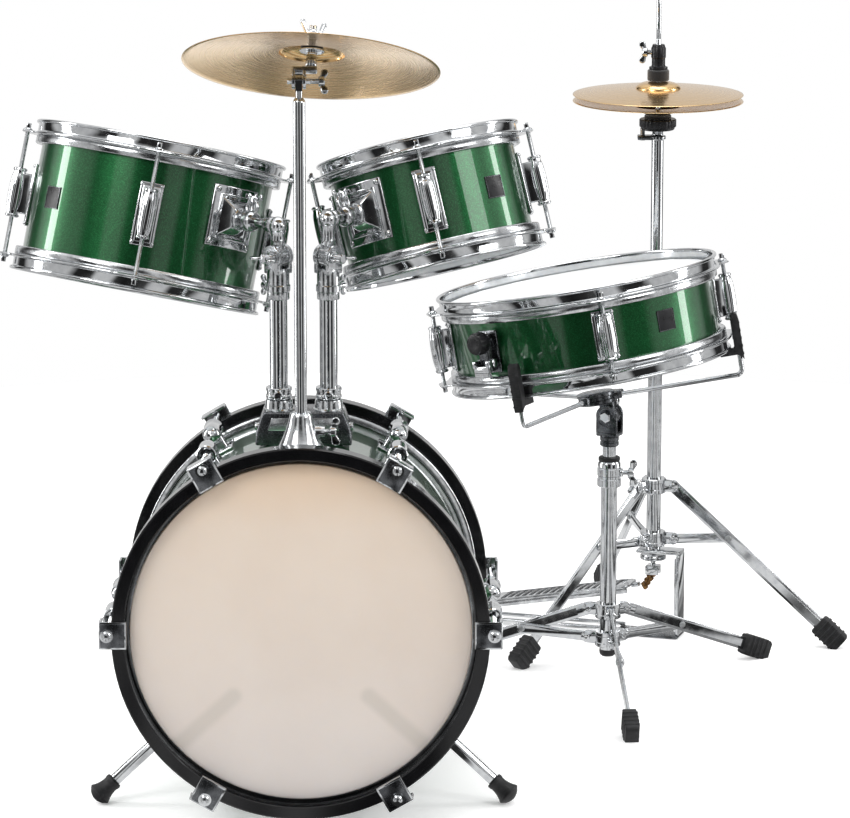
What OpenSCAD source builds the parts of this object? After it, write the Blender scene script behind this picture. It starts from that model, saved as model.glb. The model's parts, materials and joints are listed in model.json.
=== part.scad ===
// Compact five-piece acoustic drum kit: bass drum with two toms and a crash cymbal,
// a snare drum on its stand, and a hi-hat stand with its pedal.
// +X is to the kit's right as seen from the audience, +Y is towards the player, +Z is up.

/* [Bass drum] */
// Outside diameter of the bass shell
bass_d = 355.6; // [300:0.1:440]
// Depth of the bass shell
bass_depth = 305; // [250:1:380]
// Thickness of the bass shell
bass_wall = 6; // [4:0.5:10]
// Backward lean that brings the rear hoop down to the floor
bass_lean = 2.5; // [1:0.1:4]
// Radial thickness of a bass hoop
bass_hoop_t = 13.5; // [11:0.5:18]
// Width of a bass hoop along the drum
bass_hoop_w = 25; // [20:1:38]
// Length of hoop that stands in front of the shell edge
bass_hoop_reach = 16; // [12:1:26]
// Number of claws on each bass hoop
bass_claw_count = 6; // [6:2:10]
// Distance of each ring of lugs from its end of the bass shell
bass_lug_inset = 88; // [70:1:110]

/* [Spurs] */
// Angle of the spurs below horizontal
spur_angle = 42; // [36:1:50]
// Angle by which the spurs point towards the front
spur_splay = 9; // [0:1:15]
// Diameter of the spur tube
spur_d = 12.7; // [9:0.1:14]
// Length of spur tube inside the shell
spur_inside = 78; // [60:1:95]
// Distance of the spurs in front of the middle of the bass shell
spur_ahead = 44; // [30:1:60]

/* [Tom mount] */
// Distance between the two tom posts
post_gap = 53; // [50:1:70]
// Diameter of the tom posts
post_d = 19; // [16:0.1:21]
// Distance of the posts behind the front face of the bass drum
post_y = 178; // [165:1:195]
// Height of the ratchets above the bass shell
ratchet_rise = 197; // [185:1:230]
// Diameter of the arm that carries a tom
arm_d = 10.5; // [9:0.1:12]

/* [Toms] */
// Outside diameter of the left tom shell
tom_left_d = 254; // [220:0.1:270]
// Depth of the left tom shell
tom_left_h = 140; // [120:1:170]
// Outside diameter of the right tom shell
tom_right_d = 203.2; // [180:0.1:215]
// Depth of the right tom shell
tom_right_h = 115; // [100:1:140]
// Thickness of the tom and snare shells
tom_wall = 5; // [4:0.5:8]
// Lean of the left tom towards the player
tom_left_lean = 16; // [8:1:24]
// Lean of the right tom towards the player
tom_right_lean = 18.5; // [8:0.5:24]
// Distance from the left post to the left tom shell
tom_left_gap = 68; // [62:1:80]
// Distance from the right post to the right tom shell
tom_right_gap = 53; // [50:1:70]

/* [Crash cymbal] */
// Diameter of the crash cymbal
crash_d = 266; // [200:1:280]
// Lean of the crash cymbal towards the player
crash_lean = 22.5; // [5:0.5:25]
// Diameter of the crash pole
crash_pole_d = 12.7; // [10:0.1:14]
// Height of the crash tilter above the bass shell
crash_rise = 395; // [380:1:460]

/* [Snare drum] */
// Outside diameter of the snare shell
snare_d = 304.8; // [280:0.1:330]
// Depth of the snare shell
snare_h = 88; // [76:1:110]
// Lean of the snare drum in its basket
snare_lean = 10.7; // [5:0.1:14]
// Height of the basket hinge above the floor
snare_hinge_z = 324; // [305:1:380]

/* [Snare stand] */
// Diameter of the lower tube of the snare stand
snare_tube_d = 19; // [17:0.1:21]
// Distance of the feet from the middle of the snare stand
snare_foot_r = 230; // [200:1:260]
// Height of the upper leg pivots of the snare stand
snare_upper_z = 92; // [88:1:100]
// Height of the brace pivots of the snare stand
snare_lower_z = 58.5; // [54:0.5:62]

/* [Hi-hat stand] */
// Diameter of the hi-hat cymbals
hihat_d = 203; // [180:1:220]
// Height of the rim of the lower hi-hat cymbal
hihat_rim_z = 655; // [600:1:760]
// Gap between the rims of the open hi-hat cymbals
hihat_gap = 7; // [5:0.5:8]
// Diameter of the lower tube of the hi-hat stand
hihat_tube_d = 17.5; // [16:0.1:19]
// Distance of the feet from the middle of the hi-hat stand
hihat_foot_r = 228; // [200:1:250]
// Height of the upper leg pivots of the hi-hat stand
hihat_upper_z = 187; // [180:1:200]
// Height of the brace pivots of the hi-hat stand
hihat_lower_z = 121; // [116:1:125]
// Length of the footboard
footboard_l = 238; // [220:1:260]

/* [Fits] */
// Running clearance between a shaft and its bore
run_fit = 0.06; // [0.02:0.01:0.1]
// Clearance between pieces that are bolted together
seat_fit = 0.1; // [0.05:0.01:0.2]
// Side clearance of a strap in its fork
fork_fit = 0.35; // [0.3:0.05:0.6]

/* [Hidden] */
$fn = 64;

// Place of the middle of the kit's footprint, measured from the middle of the front bass hoop
kit_x = 154;
kit_y = 485;

// Bass drum
bass_r = bass_d / 2;
bass_end = bass_depth / 2;
bass_face = bass_end + bass_hoop_reach;
bass_hoop_in = bass_r + 5.7;
bass_hoop_out = bass_hoop_in + bass_hoop_t;
bass_mid_y = bass_face * cos(bass_lean);
bass_mid_z = bass_hoop_out * cos(bass_lean) + bass_face * sin(bass_lean);
flesh_reach = 8;
flesh_h = 10;
film_t = 0.8;
key_rod_r = 3;
bass_rod_r = bass_hoop_out + key_rod_r + 1.2;
claw_t = 3;
claw_w = 30;
claw_out = bass_rod_r + 8.5;
lug_mouth_r = 6.5;
lug_barrel_r = 10;
lug_barrel_l = 40;
bolt_r = 3;

// Spurs
spur_r = spur_d / 2;
spur_tip_r = 8;
spur_boss_l = 24;
spur_side = bass_r * cos(spur_angle);
spur_down = bass_r * sin(spur_angle);
spur_fall = sin(spur_angle) * cos(spur_splay) * cos(bass_lean) - sin(spur_splay) * sin(bass_lean);
spur_exit_z = bass_mid_z - spur_down * cos(bass_lean) + spur_ahead * sin(bass_lean);
spur_l = (spur_exit_z - spur_tip_r) / spur_fall;

// Tom mount, posts, ratchets and arms
function shell_top(y) = bass_mid_z + bass_r / cos(bass_lean) - (y - bass_mid_y) * tan(bass_lean);
post_r = post_d / 2;
post_wall = 1.5;
mount_top = shell_top(post_y) + 33;
mount_l = 46;
ratchet_z = shell_top(post_y) + ratchet_rise;
ratchet_r = 13;
tongue_t = 9.4;
cheek_t = 6;
sleeve_top = -11.6;
sleeve_l = 34;
post_inside = 36;
arm_r = arm_d / 2;
arm_rise = [33, 40];
bracket_rise = [14, 4];
tom_bearing = [137, 45.5];
bracket_half = 33;
clamp_near = 10;
clamp_far = 34;
clamp_r = 11;

// Rims, lugs and rods that the toms and the snare share
rim_in = 5.6;
rim_t = 1.8;
rim_up = 12;
rim_drop = 4;
flange_reach = 12;
ear_reach = 25;
ear_w = 22;
ear_t = 2.6;
rod_off = 18;
tube_lug_h = 68;
tube_lug_w = 25;
tube_barrel_r = 8;
tube_barrel_h = 52;
rod_r = 2.5;

// Crash cymbal
crash_y = 60;
crash_z = shell_top(crash_y) + crash_rise;
crash_post_r = crash_pole_d / 2;
cone_h = 42;
crash_roll = 3;
crash_seat = 41;
crash_side = 12;
crash_rod_z = 12;
crash_bow_h = 15;
crash_bell_r = 34;
crash_bell_h = 12.2;

// Snare drum and basket, in the frame of the basket hinge
snare_upper_r = snare_tube_d / 2 - 1.5;
snare_x = 342;
snare_y = 563;
snare_bearing = 64.5;
snare_off = [-16, 6];
snare_mid = 112;
basket_arms = [175, 293, 55];
snare_lug_turn = 33;
basket_rod_r = 2.75;
basket_z = 24;
strainer_turn = 160;
lever_off = 9;
lever_z = -14;
lever_pin_r = 2;

// Stands
strap_t = 3;
strap_w = 15;
brace_t = 2.5;
pin_r = 2.5;
pivot_r = 24;
collar_r = 15;
collar_h = 18;
foot_z = 10;
snare_rivet = 0.41;
hihat_rivet = 0.34;
snare_leg_turn = 34.5;
hihat_leg_turn = -16.5;
hihat_x = 406;
hihat_y = 798;
pedal_turn = 162;
hihat_tube_top = 420;
hihat_upper_d = hihat_tube_d - 3;
hihat_rod_r = 3;
hihat_tip_r = 2.8;
hihat_tip_l = 50;
cymbal_t = 1.2;
heel_z = 14;
plate_t = 4;
radius_rod_r = 2.5;
toe_r = 24;
toe_z = 58;

// ---------------------------------------------------------------- shared shapes

module in_kit() {
    translate([-kit_x, -kit_y, 0]) children();
}

// Tube along +Z that starts at z = 0
module tube(outer, inner, h) {
    difference() {
        cylinder(r = outer, h = h);
        translate([0, 0, -1]) cylinder(r = inner, h = h + 2);
    }
}

// Plain cylindrical drum shell about the origin
module drum_shell(r, wall, h) {
    $fn = 128;
    translate([0, 0, -h / 2]) tube(r, r - wall, h);
}

// Drum head whose film lies just above z = 0 and whose flesh hoop hangs outside radius r
module drum_head(r, reach, drop) {
    $fn = 128;
    rotate_extrude() polygon([
        [0, seat_fit], [r + 0.35, seat_fit], [r + 0.35, -flesh_h - drop],
        [r + reach, -flesh_h - drop], [r + reach, -drop - seat_fit],
        [r + 0.35 + film_t, -drop - seat_fit], [r + 0.35 + film_t, seat_fit + film_t],
        [0, seat_fit + film_t]
    ]);
}

// Pressed steel rim with a flange and an ear at each lug, for a shell edge at z = 0
module steel_rim(r, turn) {
    $fn = 128;
    difference() {
        union() {
            rotate_extrude() polygon([
                [r + rim_in, -rim_drop], [r + flange_reach, -rim_drop],
                [r + flange_reach, -rim_drop + rim_t], [r + rim_in + rim_t, -rim_drop + rim_t],
                [r + rim_in + rim_t, rim_up - rim_t], [r + rim_in + 2 * rim_t, rim_up - rim_t],
                [r + rim_in + 2 * rim_t, rim_up], [r + rim_in, rim_up]
            ]);
            for (k = [0:3]) rotate([0, 0, turn + 90 * k]) rim_ear(r);
        }
        for (k = [0:3]) rotate([0, 0, turn + 90 * k]) translate([r + rod_off, 0, -rim_drop - 1])
            cylinder(r = rod_r + 0.4, h = ear_t + 2, $fn = 32);
    }
}

module rim_ear(r) {
    translate([0, 0, -rim_drop - (ear_t - rim_t) / 2]) linear_extrude(ear_t) polygon([
        [r + flange_reach - 3, -ear_w * 0.9], [r + ear_reach - 4, -ear_w / 2],
        [r + ear_reach, -ear_w / 2 + 5], [r + ear_reach, ear_w / 2 - 5],
        [r + ear_reach - 4, ear_w / 2], [r + flange_reach - 3, ear_w * 0.9]
    ]);
}

// Rectangular lug with a barrel, bored at both ends for the tension rods
module tube_lug(r, h) {
    half = asin(tube_lug_w / 2 / r);
    plate_h = min(tube_lug_h, h - 2 * (rim_drop + flesh_h) - 4);
    barrel_h = min(tube_barrel_h, plate_h - 4);
    difference() {
        union() {
            translate([0, 0, -plate_h / 2])
                rotate_extrude(angle = 2 * half, start = -half, $fn = 128)
                translate([r + seat_fit, 0]) square([3, plate_h]);
            translate([r + 2, -tube_barrel_r, -barrel_h / 2])
                cube([rod_off - 2, 2 * tube_barrel_r, barrel_h]);
            translate([r + rod_off, 0, -barrel_h / 2])
                cylinder(r = tube_barrel_r, h = barrel_h);
        }
        for (end = [0, 1]) mirror([0, 0, end]) translate([r + rod_off, 0, 12])
            cylinder(r = rod_r + run_fit, h = tube_barrel_h);
    }
}

// Tension rod with a washer and a square key head, from the lug up through the rim ear
module tension_rod(r, edge) {
    ear_top = edge - rim_drop + (ear_t + rim_t) / 2 + seat_fit;
    translate([r + rod_off, 0, 14]) cylinder(r = rod_r, h = ear_top - 13, $fn = 32);
    translate([r + rod_off, 0, ear_top]) {
        cylinder(r = 5, h = 2, $fn = 32);
        cylinder(r = 3.6, h = 8, $fn = 4);
    }
}

module lugs_and_rods(r, h, turn) {
    for (k = [0:3]) rotate([0, 0, turn + 90 * k]) {
        tube_lug(r, h);
        for (end = [0, 1]) mirror([0, 0, end]) tension_rod(r, h / 2);
    }
}

module rim_pair(r, h, turn) {
    for (end = [0, 1]) mirror([0, 0, end]) translate([0, 0, h / 2]) steel_rim(r, turn);
}

module head_pair(r, h) {
    for (end = [0, 1]) mirror([0, 0, end]) translate([0, 0, h / 2]) drum_head(r, 7.6, rim_drop);
}

// Wing screw along +Z with its tip at z = 0
module wing_screw(l, r = 3, span = 13) {
    cylinder(r = r, h = l, $fn = 32);
    translate([0, 0, l - 1]) cylinder(r = r + 2.5, h = 6, $fn = 32);
    for (side = [-1, 1]) translate([side * span * 0.55, 0, l + 5]) rotate([90, 0, 0])
        cylinder(r = span * 0.45, h = 3, center = true, $fn = 32);
}

// Cymbal about +Z: rim at z = 0, bow rising to the bell, thickness downwards
function bow(q, rise) = rise * (1 - q * q);
function bell_top(r, rise, bell_r, bell_h) = bow(bell_r / r, rise) + bell_h;
module cymbal(r, rise, bell_r, bell_h, hole_r) {
    steps = 9;
    outer = [for (k = [0:steps]) let (x = r - (r - bell_r) * k / steps) [x, bow(x / r, rise)]];
    lift = bow(bell_r / r, rise);
    dome = [for (k = [1:6]) let (a = 15 * k) [
        hole_r + (bell_r - hole_r) * cos(a), lift + bell_h * sin(a)]];
    top = concat(outer, dome);
    under = [for (k = [len(top) - 1:-1:0]) [top[k][0], top[k][1] - cymbal_t]];
    $fn = 96;
    rotate_extrude() polygon(concat(top, under));
}

// ---------------------------------------------------------------- bass drum

// Drum frame: +Z along the drum towards the front, +Y up, origin in the middle of the shell
module on_bass() {
    translate([0, bass_mid_y, bass_mid_z]) rotate([90 - bass_lean, 0, 0]) children();
}

module each_bass_lug() {
    for (k = [0:bass_claw_count - 1]) rotate([0, 0, 360 / bass_claw_count * k])
        for (end = [0, 1]) mirror([0, 0, end]) children();
}

// Spur frame: +Z outwards along the spur, origin where the spur leaves the shell
module on_spur(side) {
    on_bass() translate([side * spur_side, -spur_down, spur_ahead])
        rotate([0, 0, side > 0 ? -spur_angle : 180 + spur_angle])
        rotate([0, 90 - spur_splay, 0]) children();
}

module bass_shell() {
    color("darkgreen") difference() {
        on_bass() drum_shell(bass_r, bass_wall, bass_depth);
        for (side = [-1, 1]) on_spur(side) translate([0, 0, -30]) cylinder(r = spur_r + 1, h = 60);
        for (side = [-1, 1]) translate([side * post_gap / 2, post_y, mount_top - 80])
            cylinder(r = post_r + 1, h = 80);
    }
}

module bass_hoops() {
    color("black") on_bass() for (end = [0, 1]) mirror([0, 0, end])
        translate([0, 0, bass_face - bass_hoop_w]) rotate_extrude($fn = 128)
        polygon([
            [bass_hoop_in, 0], [bass_hoop_out - 1, 0], [bass_hoop_out, 1],
            [bass_hoop_out, bass_hoop_w - 1.5], [bass_hoop_out - 1.5, bass_hoop_w],
            [bass_hoop_in + 1, bass_hoop_w], [bass_hoop_in, bass_hoop_w - 1]
        ]);
}

module bass_heads() {
    color("linen") on_bass() for (end = [0, 1]) mirror([0, 0, end])
        translate([0, 0, bass_end])
        drum_head(bass_r, flesh_reach, bass_hoop_w - bass_hoop_reach);
}

module bass_lugs() {
    half = asin(13 / bass_r);
    color("silver") on_bass() each_bass_lug() difference() {
        translate([0, 0, bass_end - bass_lug_inset]) union() {
            translate([0, 0, -24]) rotate_extrude(angle = 2 * half, start = -half, $fn = 128)
                translate([bass_r + seat_fit, 0]) square([3, 48]);
            translate([bass_r + 2, -6, -18]) cube([bass_rod_r - bass_r - 2, 12, 30]);
            translate([bass_rod_r, 0, -20]) cylinder(r = lug_barrel_r, h = lug_barrel_l);
            translate([bass_rod_r, 0, -20]) sphere(r = lug_barrel_r);
        }
        translate([bass_rod_r, 0, bass_end - bass_lug_inset + 6]) cylinder(r = lug_mouth_r, h = 40);
        translate([bass_rod_r, 0, bass_end - bass_lug_inset - 16])
            cylinder(r = key_rod_r + run_fit, h = 60);
    }
}

module bass_claw() {
    lip = sqrt(bass_hoop_in * bass_hoop_in - claw_w * claw_w / 4) - seat_fit;
    difference() {
        translate([0, claw_w / 2, 0]) rotate([90, 0, 0]) linear_extrude(claw_w) polygon([
            [lip - 2, bass_face - 6], [lip, bass_face - 6], [lip, bass_face + seat_fit],
            [claw_out - claw_t, bass_face + seat_fit], [claw_out - claw_t, bass_face - 20],
            [claw_out, bass_face - 20], [claw_out, bass_face + claw_t],
            [lip - 2, bass_face + claw_t]
        ]);
        translate([bass_rod_r, 0, bass_face - 4]) cylinder(r = key_rod_r + 0.4, h = 12);
    }
}

module bass_key_rod() {
    low = bass_end - bass_lug_inset - 14;
    translate([bass_rod_r, 0, low]) cylinder(r = key_rod_r, h = bass_face + claw_t + 2 - low);
    translate([bass_rod_r, 0, bass_face + claw_t + seat_fit]) {
        cylinder(r = 6.5, h = 2);
        cylinder(r = 4.2, h = 9, $fn = 4);
    }
}

module bass_claws() {
    color("gainsboro") on_bass() each_bass_lug() {
        bass_claw();
        bass_key_rod();
    }
}

module spur_bracket() {
    difference() {
        union() {
            translate([0, 0, -6]) cylinder(r = 21, h = 13);
            cylinder(r = spur_r + 6, h = spur_boss_l);
            translate([0, 0, spur_boss_l - 10]) rotate([-90, 0, 0]) cylinder(r = 5.5, h = spur_r + 11);
        }
        translate([0, 0, -10]) cylinder(r = spur_r + run_fit, h = spur_boss_l + 20);
    }
}

module shell_castings() {
    color("silver") difference() {
        union() {
            for (side = [-1, 1]) on_spur(side) spur_bracket();
            translate([0, crash_y, shell_top(crash_y) - 6]) crash_cone();
        }
        on_bass() cylinder(r = bass_r + seat_fit, h = 2 * bass_depth, center = true, $fn = 128);
        on_bass() translate([0, 0, bass_face - bass_hoop_w - flesh_h - 2 * seat_fit])
            cylinder(r = bass_r + flesh_reach + 3 * seat_fit, h = 2 * bass_hoop_w, $fn = 128);
    }
}

module crash_cone() {
    difference() {
        union() {
            rotate_extrude() polygon([
                [0, 0], [27, 0], [27, 8], [24, 13], [19, 24], [14, 36], [11.5, cone_h + 4],
                [10.5, cone_h + 6], [0, cone_h + 6]
            ]);
            translate([0, 0, 28]) rotate([0, 90, 0]) cylinder(r = 6, h = 24);
            translate([18, 0, 28]) rotate([0, 90, 0]) wing_screw(14);
        }
        translate([0, 0, 10]) cylinder(r = crash_post_r + run_fit, h = cone_h);
    }
}

module spur(side) {
    tip = spur_l - 24;
    dome = [for (a = [0:15:90]) [spur_tip_r * cos(a), spur_l + spur_tip_r * sin(a)]];
    color("silver") on_spur(side) {
        translate([0, 0, -spur_inside]) cylinder(r = spur_r, h = spur_inside + tip - seat_fit);
        rotate_extrude() polygon(concat(
            [[0, tip], [spur_r + 3, tip], [spur_r + 3, tip + 6], [spur_r + 1.2, tip + 7]], dome));
    }
}

module spur_left() {
    spur(-1);
}

module spur_right() {
    spur(1);
}

// ---------------------------------------------------------------- tom mount and arms

module tom_mount() {
    top_half = post_gap / 2 + 16;
    color("dimgray") difference() {
        union() {
            translate([0, post_y + mount_l / 2, 0]) rotate([90, 0, 0]) linear_extrude(mount_l)
                polygon([
                    [-top_half - 9, mount_top - 42], [top_half + 9, mount_top - 42],
                    [top_half, mount_top], [-top_half, mount_top]
                ]);
            for (side = [-1, 1]) translate([side * post_gap / 2, post_y, mount_top - 1])
                cylinder(r = post_r + 5, h = 12);
        }
        on_bass() cylinder(r = bass_r + seat_fit, h = 2 * bass_depth, center = true, $fn = 128);
        for (side = [-1, 1]) translate([side * post_gap / 2, post_y, mount_top - 60])
            cylinder(r = post_r + run_fit, h = 90);
    }
}

module post(side) {
    low = shell_top(post_y) - post_inside;
    high = ratchet_z + sleeve_top - 6;
    color("silver") translate([side * post_gap / 2, post_y, 0]) difference() {
        union() {
            translate([0, 0, low]) cylinder(r = post_r, h = high - low);
            translate([0, 0, mount_top + 11.5]) cylinder(r = post_r + 4.5, h = 12);
            translate([0, 0, mount_top + 17.5]) rotate([90, 0, 0]) wing_screw(post_r + 10, 3, 10);
        }
        translate([0, 0, low - 1]) cylinder(r = post_r - post_wall, h = high - low - 2);
    }
}

module post_left() {
    post(-1);
}

module post_right() {
    post(1);
}

// Ratchet frame: origin on the ratchet axis, +X towards the tom, +Y along the ratchet axis
module on_ratchet(which) {
    translate([(which == 0 ? -1 : 1) * post_gap / 2, post_y, ratchet_z])
        rotate([0, 0, tom_bearing[which]]) children();
}

module tilter(which) {
    face = which == 0 ? -1 : 1;
    color("silver") on_ratchet(which) difference() {
        union() {
            translate([0, 0, sleeve_top - sleeve_l]) cylinder(r = post_r + 2.5, h = sleeve_l);
            translate([0, 0, sleeve_top - 4]) cube([22, tongue_t + 2 * cheek_t, 8], center = true);
            for (s = [-1, 1]) translate([0, s * (tongue_t / 2 + fork_fit), 0])
                rotate([-90 * s, 0, 0]) cylinder(r = ratchet_r, h = cheek_t);
            for (s = [-1, 1]) translate([-10, s * (tongue_t / 2 + fork_fit + cheek_t / 2) - cheek_t / 2,
                sleeve_top - 4]) cube([20, cheek_t, -sleeve_top + 4]);
            rotate([90 * face, 0, 0]) cylinder(r = 8, h = 15);
            rotate([90 * face, 0, 0]) translate([0, 0, 10]) wing_screw(9, 3, 15);
            rotate([-90, 0, 0]) cylinder(r = bolt_r, h = 30, center = true, $fn = 32);
        }
        translate([0, 0, sleeve_top - sleeve_l - 1]) cylinder(r = post_r + run_fit, h = sleeve_l - 3);
        difference() {
            cube([60, tongue_t + 2 * fork_fit, -2 * sleeve_top], center = true);
            rotate([-90, 0, 0]) cylinder(r = bolt_r, h = 40, center = true, $fn = 32);
        }
    }
}

module tilter_left() {
    tilter(0);
}

module tilter_right() {
    tilter(1);
}

module arm(which, r, gap) {
    rise = arm_rise[which];
    reach = gap - clamp_near + 1;
    color("silver") on_ratchet(which) difference() {
        union() {
            rotate([-90, 0, 0]) cylinder(r = 11, h = tongue_t, center = true);
            translate([-8, -tongue_t / 2, 0]) cube([16, tongue_t, 16]);
            translate([0, 0, 13]) cylinder(r1 = 8, r2 = 9.5, h = rise - 13);
            translate([0, 0, rise]) sphere(r = 9.5);
            translate([0, 0, rise]) rotate([0, 90, 0]) cylinder(r = arm_r + 2.6, h = 17);
            translate([0, 0, rise]) rotate([0, 90, 0]) cylinder(r = arm_r, h = reach);
        }
        rotate([-90, 0, 0]) cylinder(r = bolt_r + run_fit, h = 40, center = true, $fn = 32);
    }
}

module arm_left() {
    arm(0, tom_left_d / 2, tom_left_gap);
}

module arm_right() {
    arm(1, tom_right_d / 2, tom_right_gap);
}

// ---------------------------------------------------------------- toms

// Tom frame: origin in the middle of the shell, +Z up the tom, -X towards its arm
module on_tom(which) {
    reach = which == 0 ? tom_left_gap + tom_left_d / 2 : tom_right_gap + tom_right_d / 2;
    lean = which == 0 ? tom_left_lean : -tom_right_lean;
    on_ratchet(which) translate([0, 0, arm_rise[which]]) rotate([lean, 0, 0])
        translate([reach, 0, -bracket_rise[which]]) children();
}

module tom_shell(which, d, h) {
    color("darkgreen") on_tom(which) drum_shell(d / 2, tom_wall, h);
}

module tom_hoops(which, d, h) {
    color("gainsboro") on_tom(which) rim_pair(d / 2, h, 45);
}

module tom_heads(which, d, h) {
    color("white") on_tom(which) head_pair(d / 2, h);
}

module tom_lugs(which, d, h) {
    color("silver") on_tom(which) lugs_and_rods(d / 2, h, 45);
}

// Square bracket with a raised middle and a clamp on the arm
module tom_bracket(which, d) {
    r = d / 2;
    half = asin(bracket_half / r);
    base = bracket_half - 8;
    color("silver") on_tom(which) translate([0, 0, bracket_rise[which]]) rotate([0, 0, 180])
        difference() {
            union() {
                translate([0, 0, -bracket_half]) rotate_extrude(angle = 2 * half, start = -half, $fn = 128)
                    translate([r + seat_fit, 0]) square([3, 2 * bracket_half]);
                intersection() {
                    translate([0, base, 0]) rotate([90, 0, 0]) linear_extrude(2 * base) polygon([
                        [r - 4, -base], [r + 3, -base], [r + clamp_near + 2, -11],
                        [r + clamp_near + 2, 11], [r + 3, base], [r - 4, base]
                    ]);
                    translate([0, 0, -base]) linear_extrude(2 * base) polygon([
                        [r - 4, -base], [r + 1, -base], [r + clamp_near + 2, -11],
                        [r + clamp_near + 2, 11], [r + 1, base], [r - 4, base]
                    ]);
                }
                translate([r + clamp_near, 0, 0]) rotate([0, 90, 0])
                    cylinder(r = clamp_r, h = clamp_far - clamp_near);
                translate([r + (clamp_near + clamp_far) / 2 + 4, 0, 8]) wing_screw(11, 3, 11);
                for (y = [-1, 1], z = [-1, 1]) rotate([0, 0, y * (half - 3)])
                    translate([r + 3, 0, z * (bracket_half - 5)]) rotate([0, 90, 0])
                    cylinder(r = 3.2, h = 2.4, $fn = 32);
            }
            cylinder(r = r + seat_fit, h = 4 * bracket_half, center = true, $fn = 128);
            translate([r + clamp_near - 3, 0, 0]) rotate([0, 90, 0])
                cylinder(r = arm_r + run_fit, h = clamp_far);
        }
}

module tom_left_shell() {
    tom_shell(0, tom_left_d, tom_left_h);
}

module tom_left_hoops() {
    tom_hoops(0, tom_left_d, tom_left_h);
}

module tom_left_heads() {
    tom_heads(0, tom_left_d, tom_left_h);
}

module tom_left_lugs() {
    tom_lugs(0, tom_left_d, tom_left_h);
}

module tom_left_bracket() {
    tom_bracket(0, tom_left_d);
}

module tom_right_shell() {
    tom_shell(1, tom_right_d, tom_right_h);
}

module tom_right_hoops() {
    tom_hoops(1, tom_right_d, tom_right_h);
}

module tom_right_heads() {
    tom_heads(1, tom_right_d, tom_right_h);
}

module tom_right_lugs() {
    tom_lugs(1, tom_right_d, tom_right_h);
}

module tom_right_bracket() {
    tom_bracket(1, tom_right_d);
}

// ---------------------------------------------------------------- crash cymbal

module crash_pole() {
    low = shell_top(crash_y) + 8;
    top = crash_z - 22;
    color("silver") translate([0, crash_y, 0]) {
        translate([0, 0, low]) cylinder(r = crash_post_r, h = top - low);
        translate([0, 0, top]) sphere(r = crash_post_r);
        translate([0, 0, top]) cylinder(r = 3.4, h = 14);
        difference() {
            translate([0, 0, crash_z]) union() {
                translate([-3.5, -8, -9]) cube([7, 16, 9]);
                rotate([0, 90, 0]) cylinder(r = 8, h = 7, center = true);
            }
            translate([0, 0, crash_z]) rotate([0, 90, 0]) cylinder(r = bolt_r + run_fit, h = 20, center = true);
        }
    }
}

// Tilter frame: origin on the tilter hinge, +X along the hinge
module on_crash() {
    translate([0, crash_y, crash_z]) rotate([-crash_lean, 0, 0]) children();
}

// Rod frame: +Z up the cymbal's rod, which leaves the tilter beside its hinge
module on_crash_rod() {
    on_crash() translate([crash_side, 0, crash_rod_z]) rotate([0, crash_roll, 0])
        translate([0, 0, -crash_rod_z]) children();
}

module crash_tilter() {
    color("dimgray") on_crash() {
        for (s = [-1, 1]) translate([s * (3.5 + fork_fit), 0, 0]) rotate([0, 90 * s, 0])
            cylinder(r = 8, h = 3.5);
        for (s = [-1, 1]) translate([s * (5.25 + fork_fit) - 1.75, -6, 0]) cube([3.5, 12, 13]);
        translate([-7.35, -6, 9]) cube([crash_side + 14, 12, 6]);
        rotate([0, 90, 0]) cylinder(r = bolt_r, h = 24, center = true);
        rotate([0, 90, 0]) translate([0, 0, 8]) wing_screw(12, 3, 12);
    }
    color("silver") on_crash_rod() {
        translate([0, 0, crash_rod_z]) cylinder(r = 4, h = crash_seat + 6);
        translate([0, 0, crash_rod_z + 3.6]) tube(6, 4 + seat_fit, crash_seat - crash_rod_z - 13.6);
        translate([0, 0, crash_seat - 9.8]) tube(13, 4 + seat_fit, 2);
        translate([0, 0, crash_seat - 7.7]) tube(11.5, 4 + seat_fit, 6.5);
        translate([0, 0, crash_seat + cymbal_t + 0.5]) tube(10, 4 + seat_fit, 4);
        translate([0, 0, crash_seat + cymbal_t + 4.7]) rotate([0, 0, 30]) {
            tube(7, 4 + seat_fit, 7);
            for (side = [-1, 1]) translate([side * 10, 0, 8]) rotate([90, 0, 0])
                cylinder(r = 6, h = 3, center = true);
        }
    }
}

module crash_cymbal() {
    r = crash_d / 2;
    top = bell_top(r, crash_bow_h, crash_bell_r, crash_bell_h);
    color("gold") on_crash_rod() translate([0, 0, crash_seat + cymbal_t - top])
        cymbal(r, crash_bow_h, crash_bell_r, crash_bell_h, 5.5);
}

// ---------------------------------------------------------------- snare drum

// Basket frame: origin on the basket hinge, +X along the hinge, +Z up the drum
module on_basket() {
    translate([snare_x, snare_y, snare_hinge_z]) rotate([0, 0, snare_bearing])
        rotate([-snare_lean, 0, 0]) children();
}

module on_snare() {
    on_basket() translate([snare_off[0], snare_off[1], snare_mid]) children();
}

module snare_shell() {
    color("darkgreen") on_snare() drum_shell(snare_d / 2, tom_wall, snare_h);
}

module snare_hoops() {
    color("gainsboro") on_snare() rim_pair(snare_d / 2, snare_h, snare_lug_turn);
}

module snare_heads() {
    color("white") on_snare() head_pair(snare_d / 2, snare_h);
}

module snare_lugs() {
    color("silver") on_snare() lugs_and_rods(snare_d / 2, snare_h, snare_lug_turn);
}

module snare_wires() {
    wires = 12;
    half = snare_d / 2 - 14;
    color("silver") on_snare() rotate([0, 0, strainer_turn]) translate([0, 0, -snare_h / 2 - 2.6]) {
        for (s = [-1, 1]) translate([s * (half - 8), 0, 0]) cube([16, 40, 1.6], center = true);
        for (k = [0:wires - 1]) translate([0, (k - (wires - 1) / 2) * 3.2, 0]) rotate([0, 90, 0])
            cylinder(r = 0.7, h = 2 * half - 20, center = true, $fn = 16);
    }
}

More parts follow.
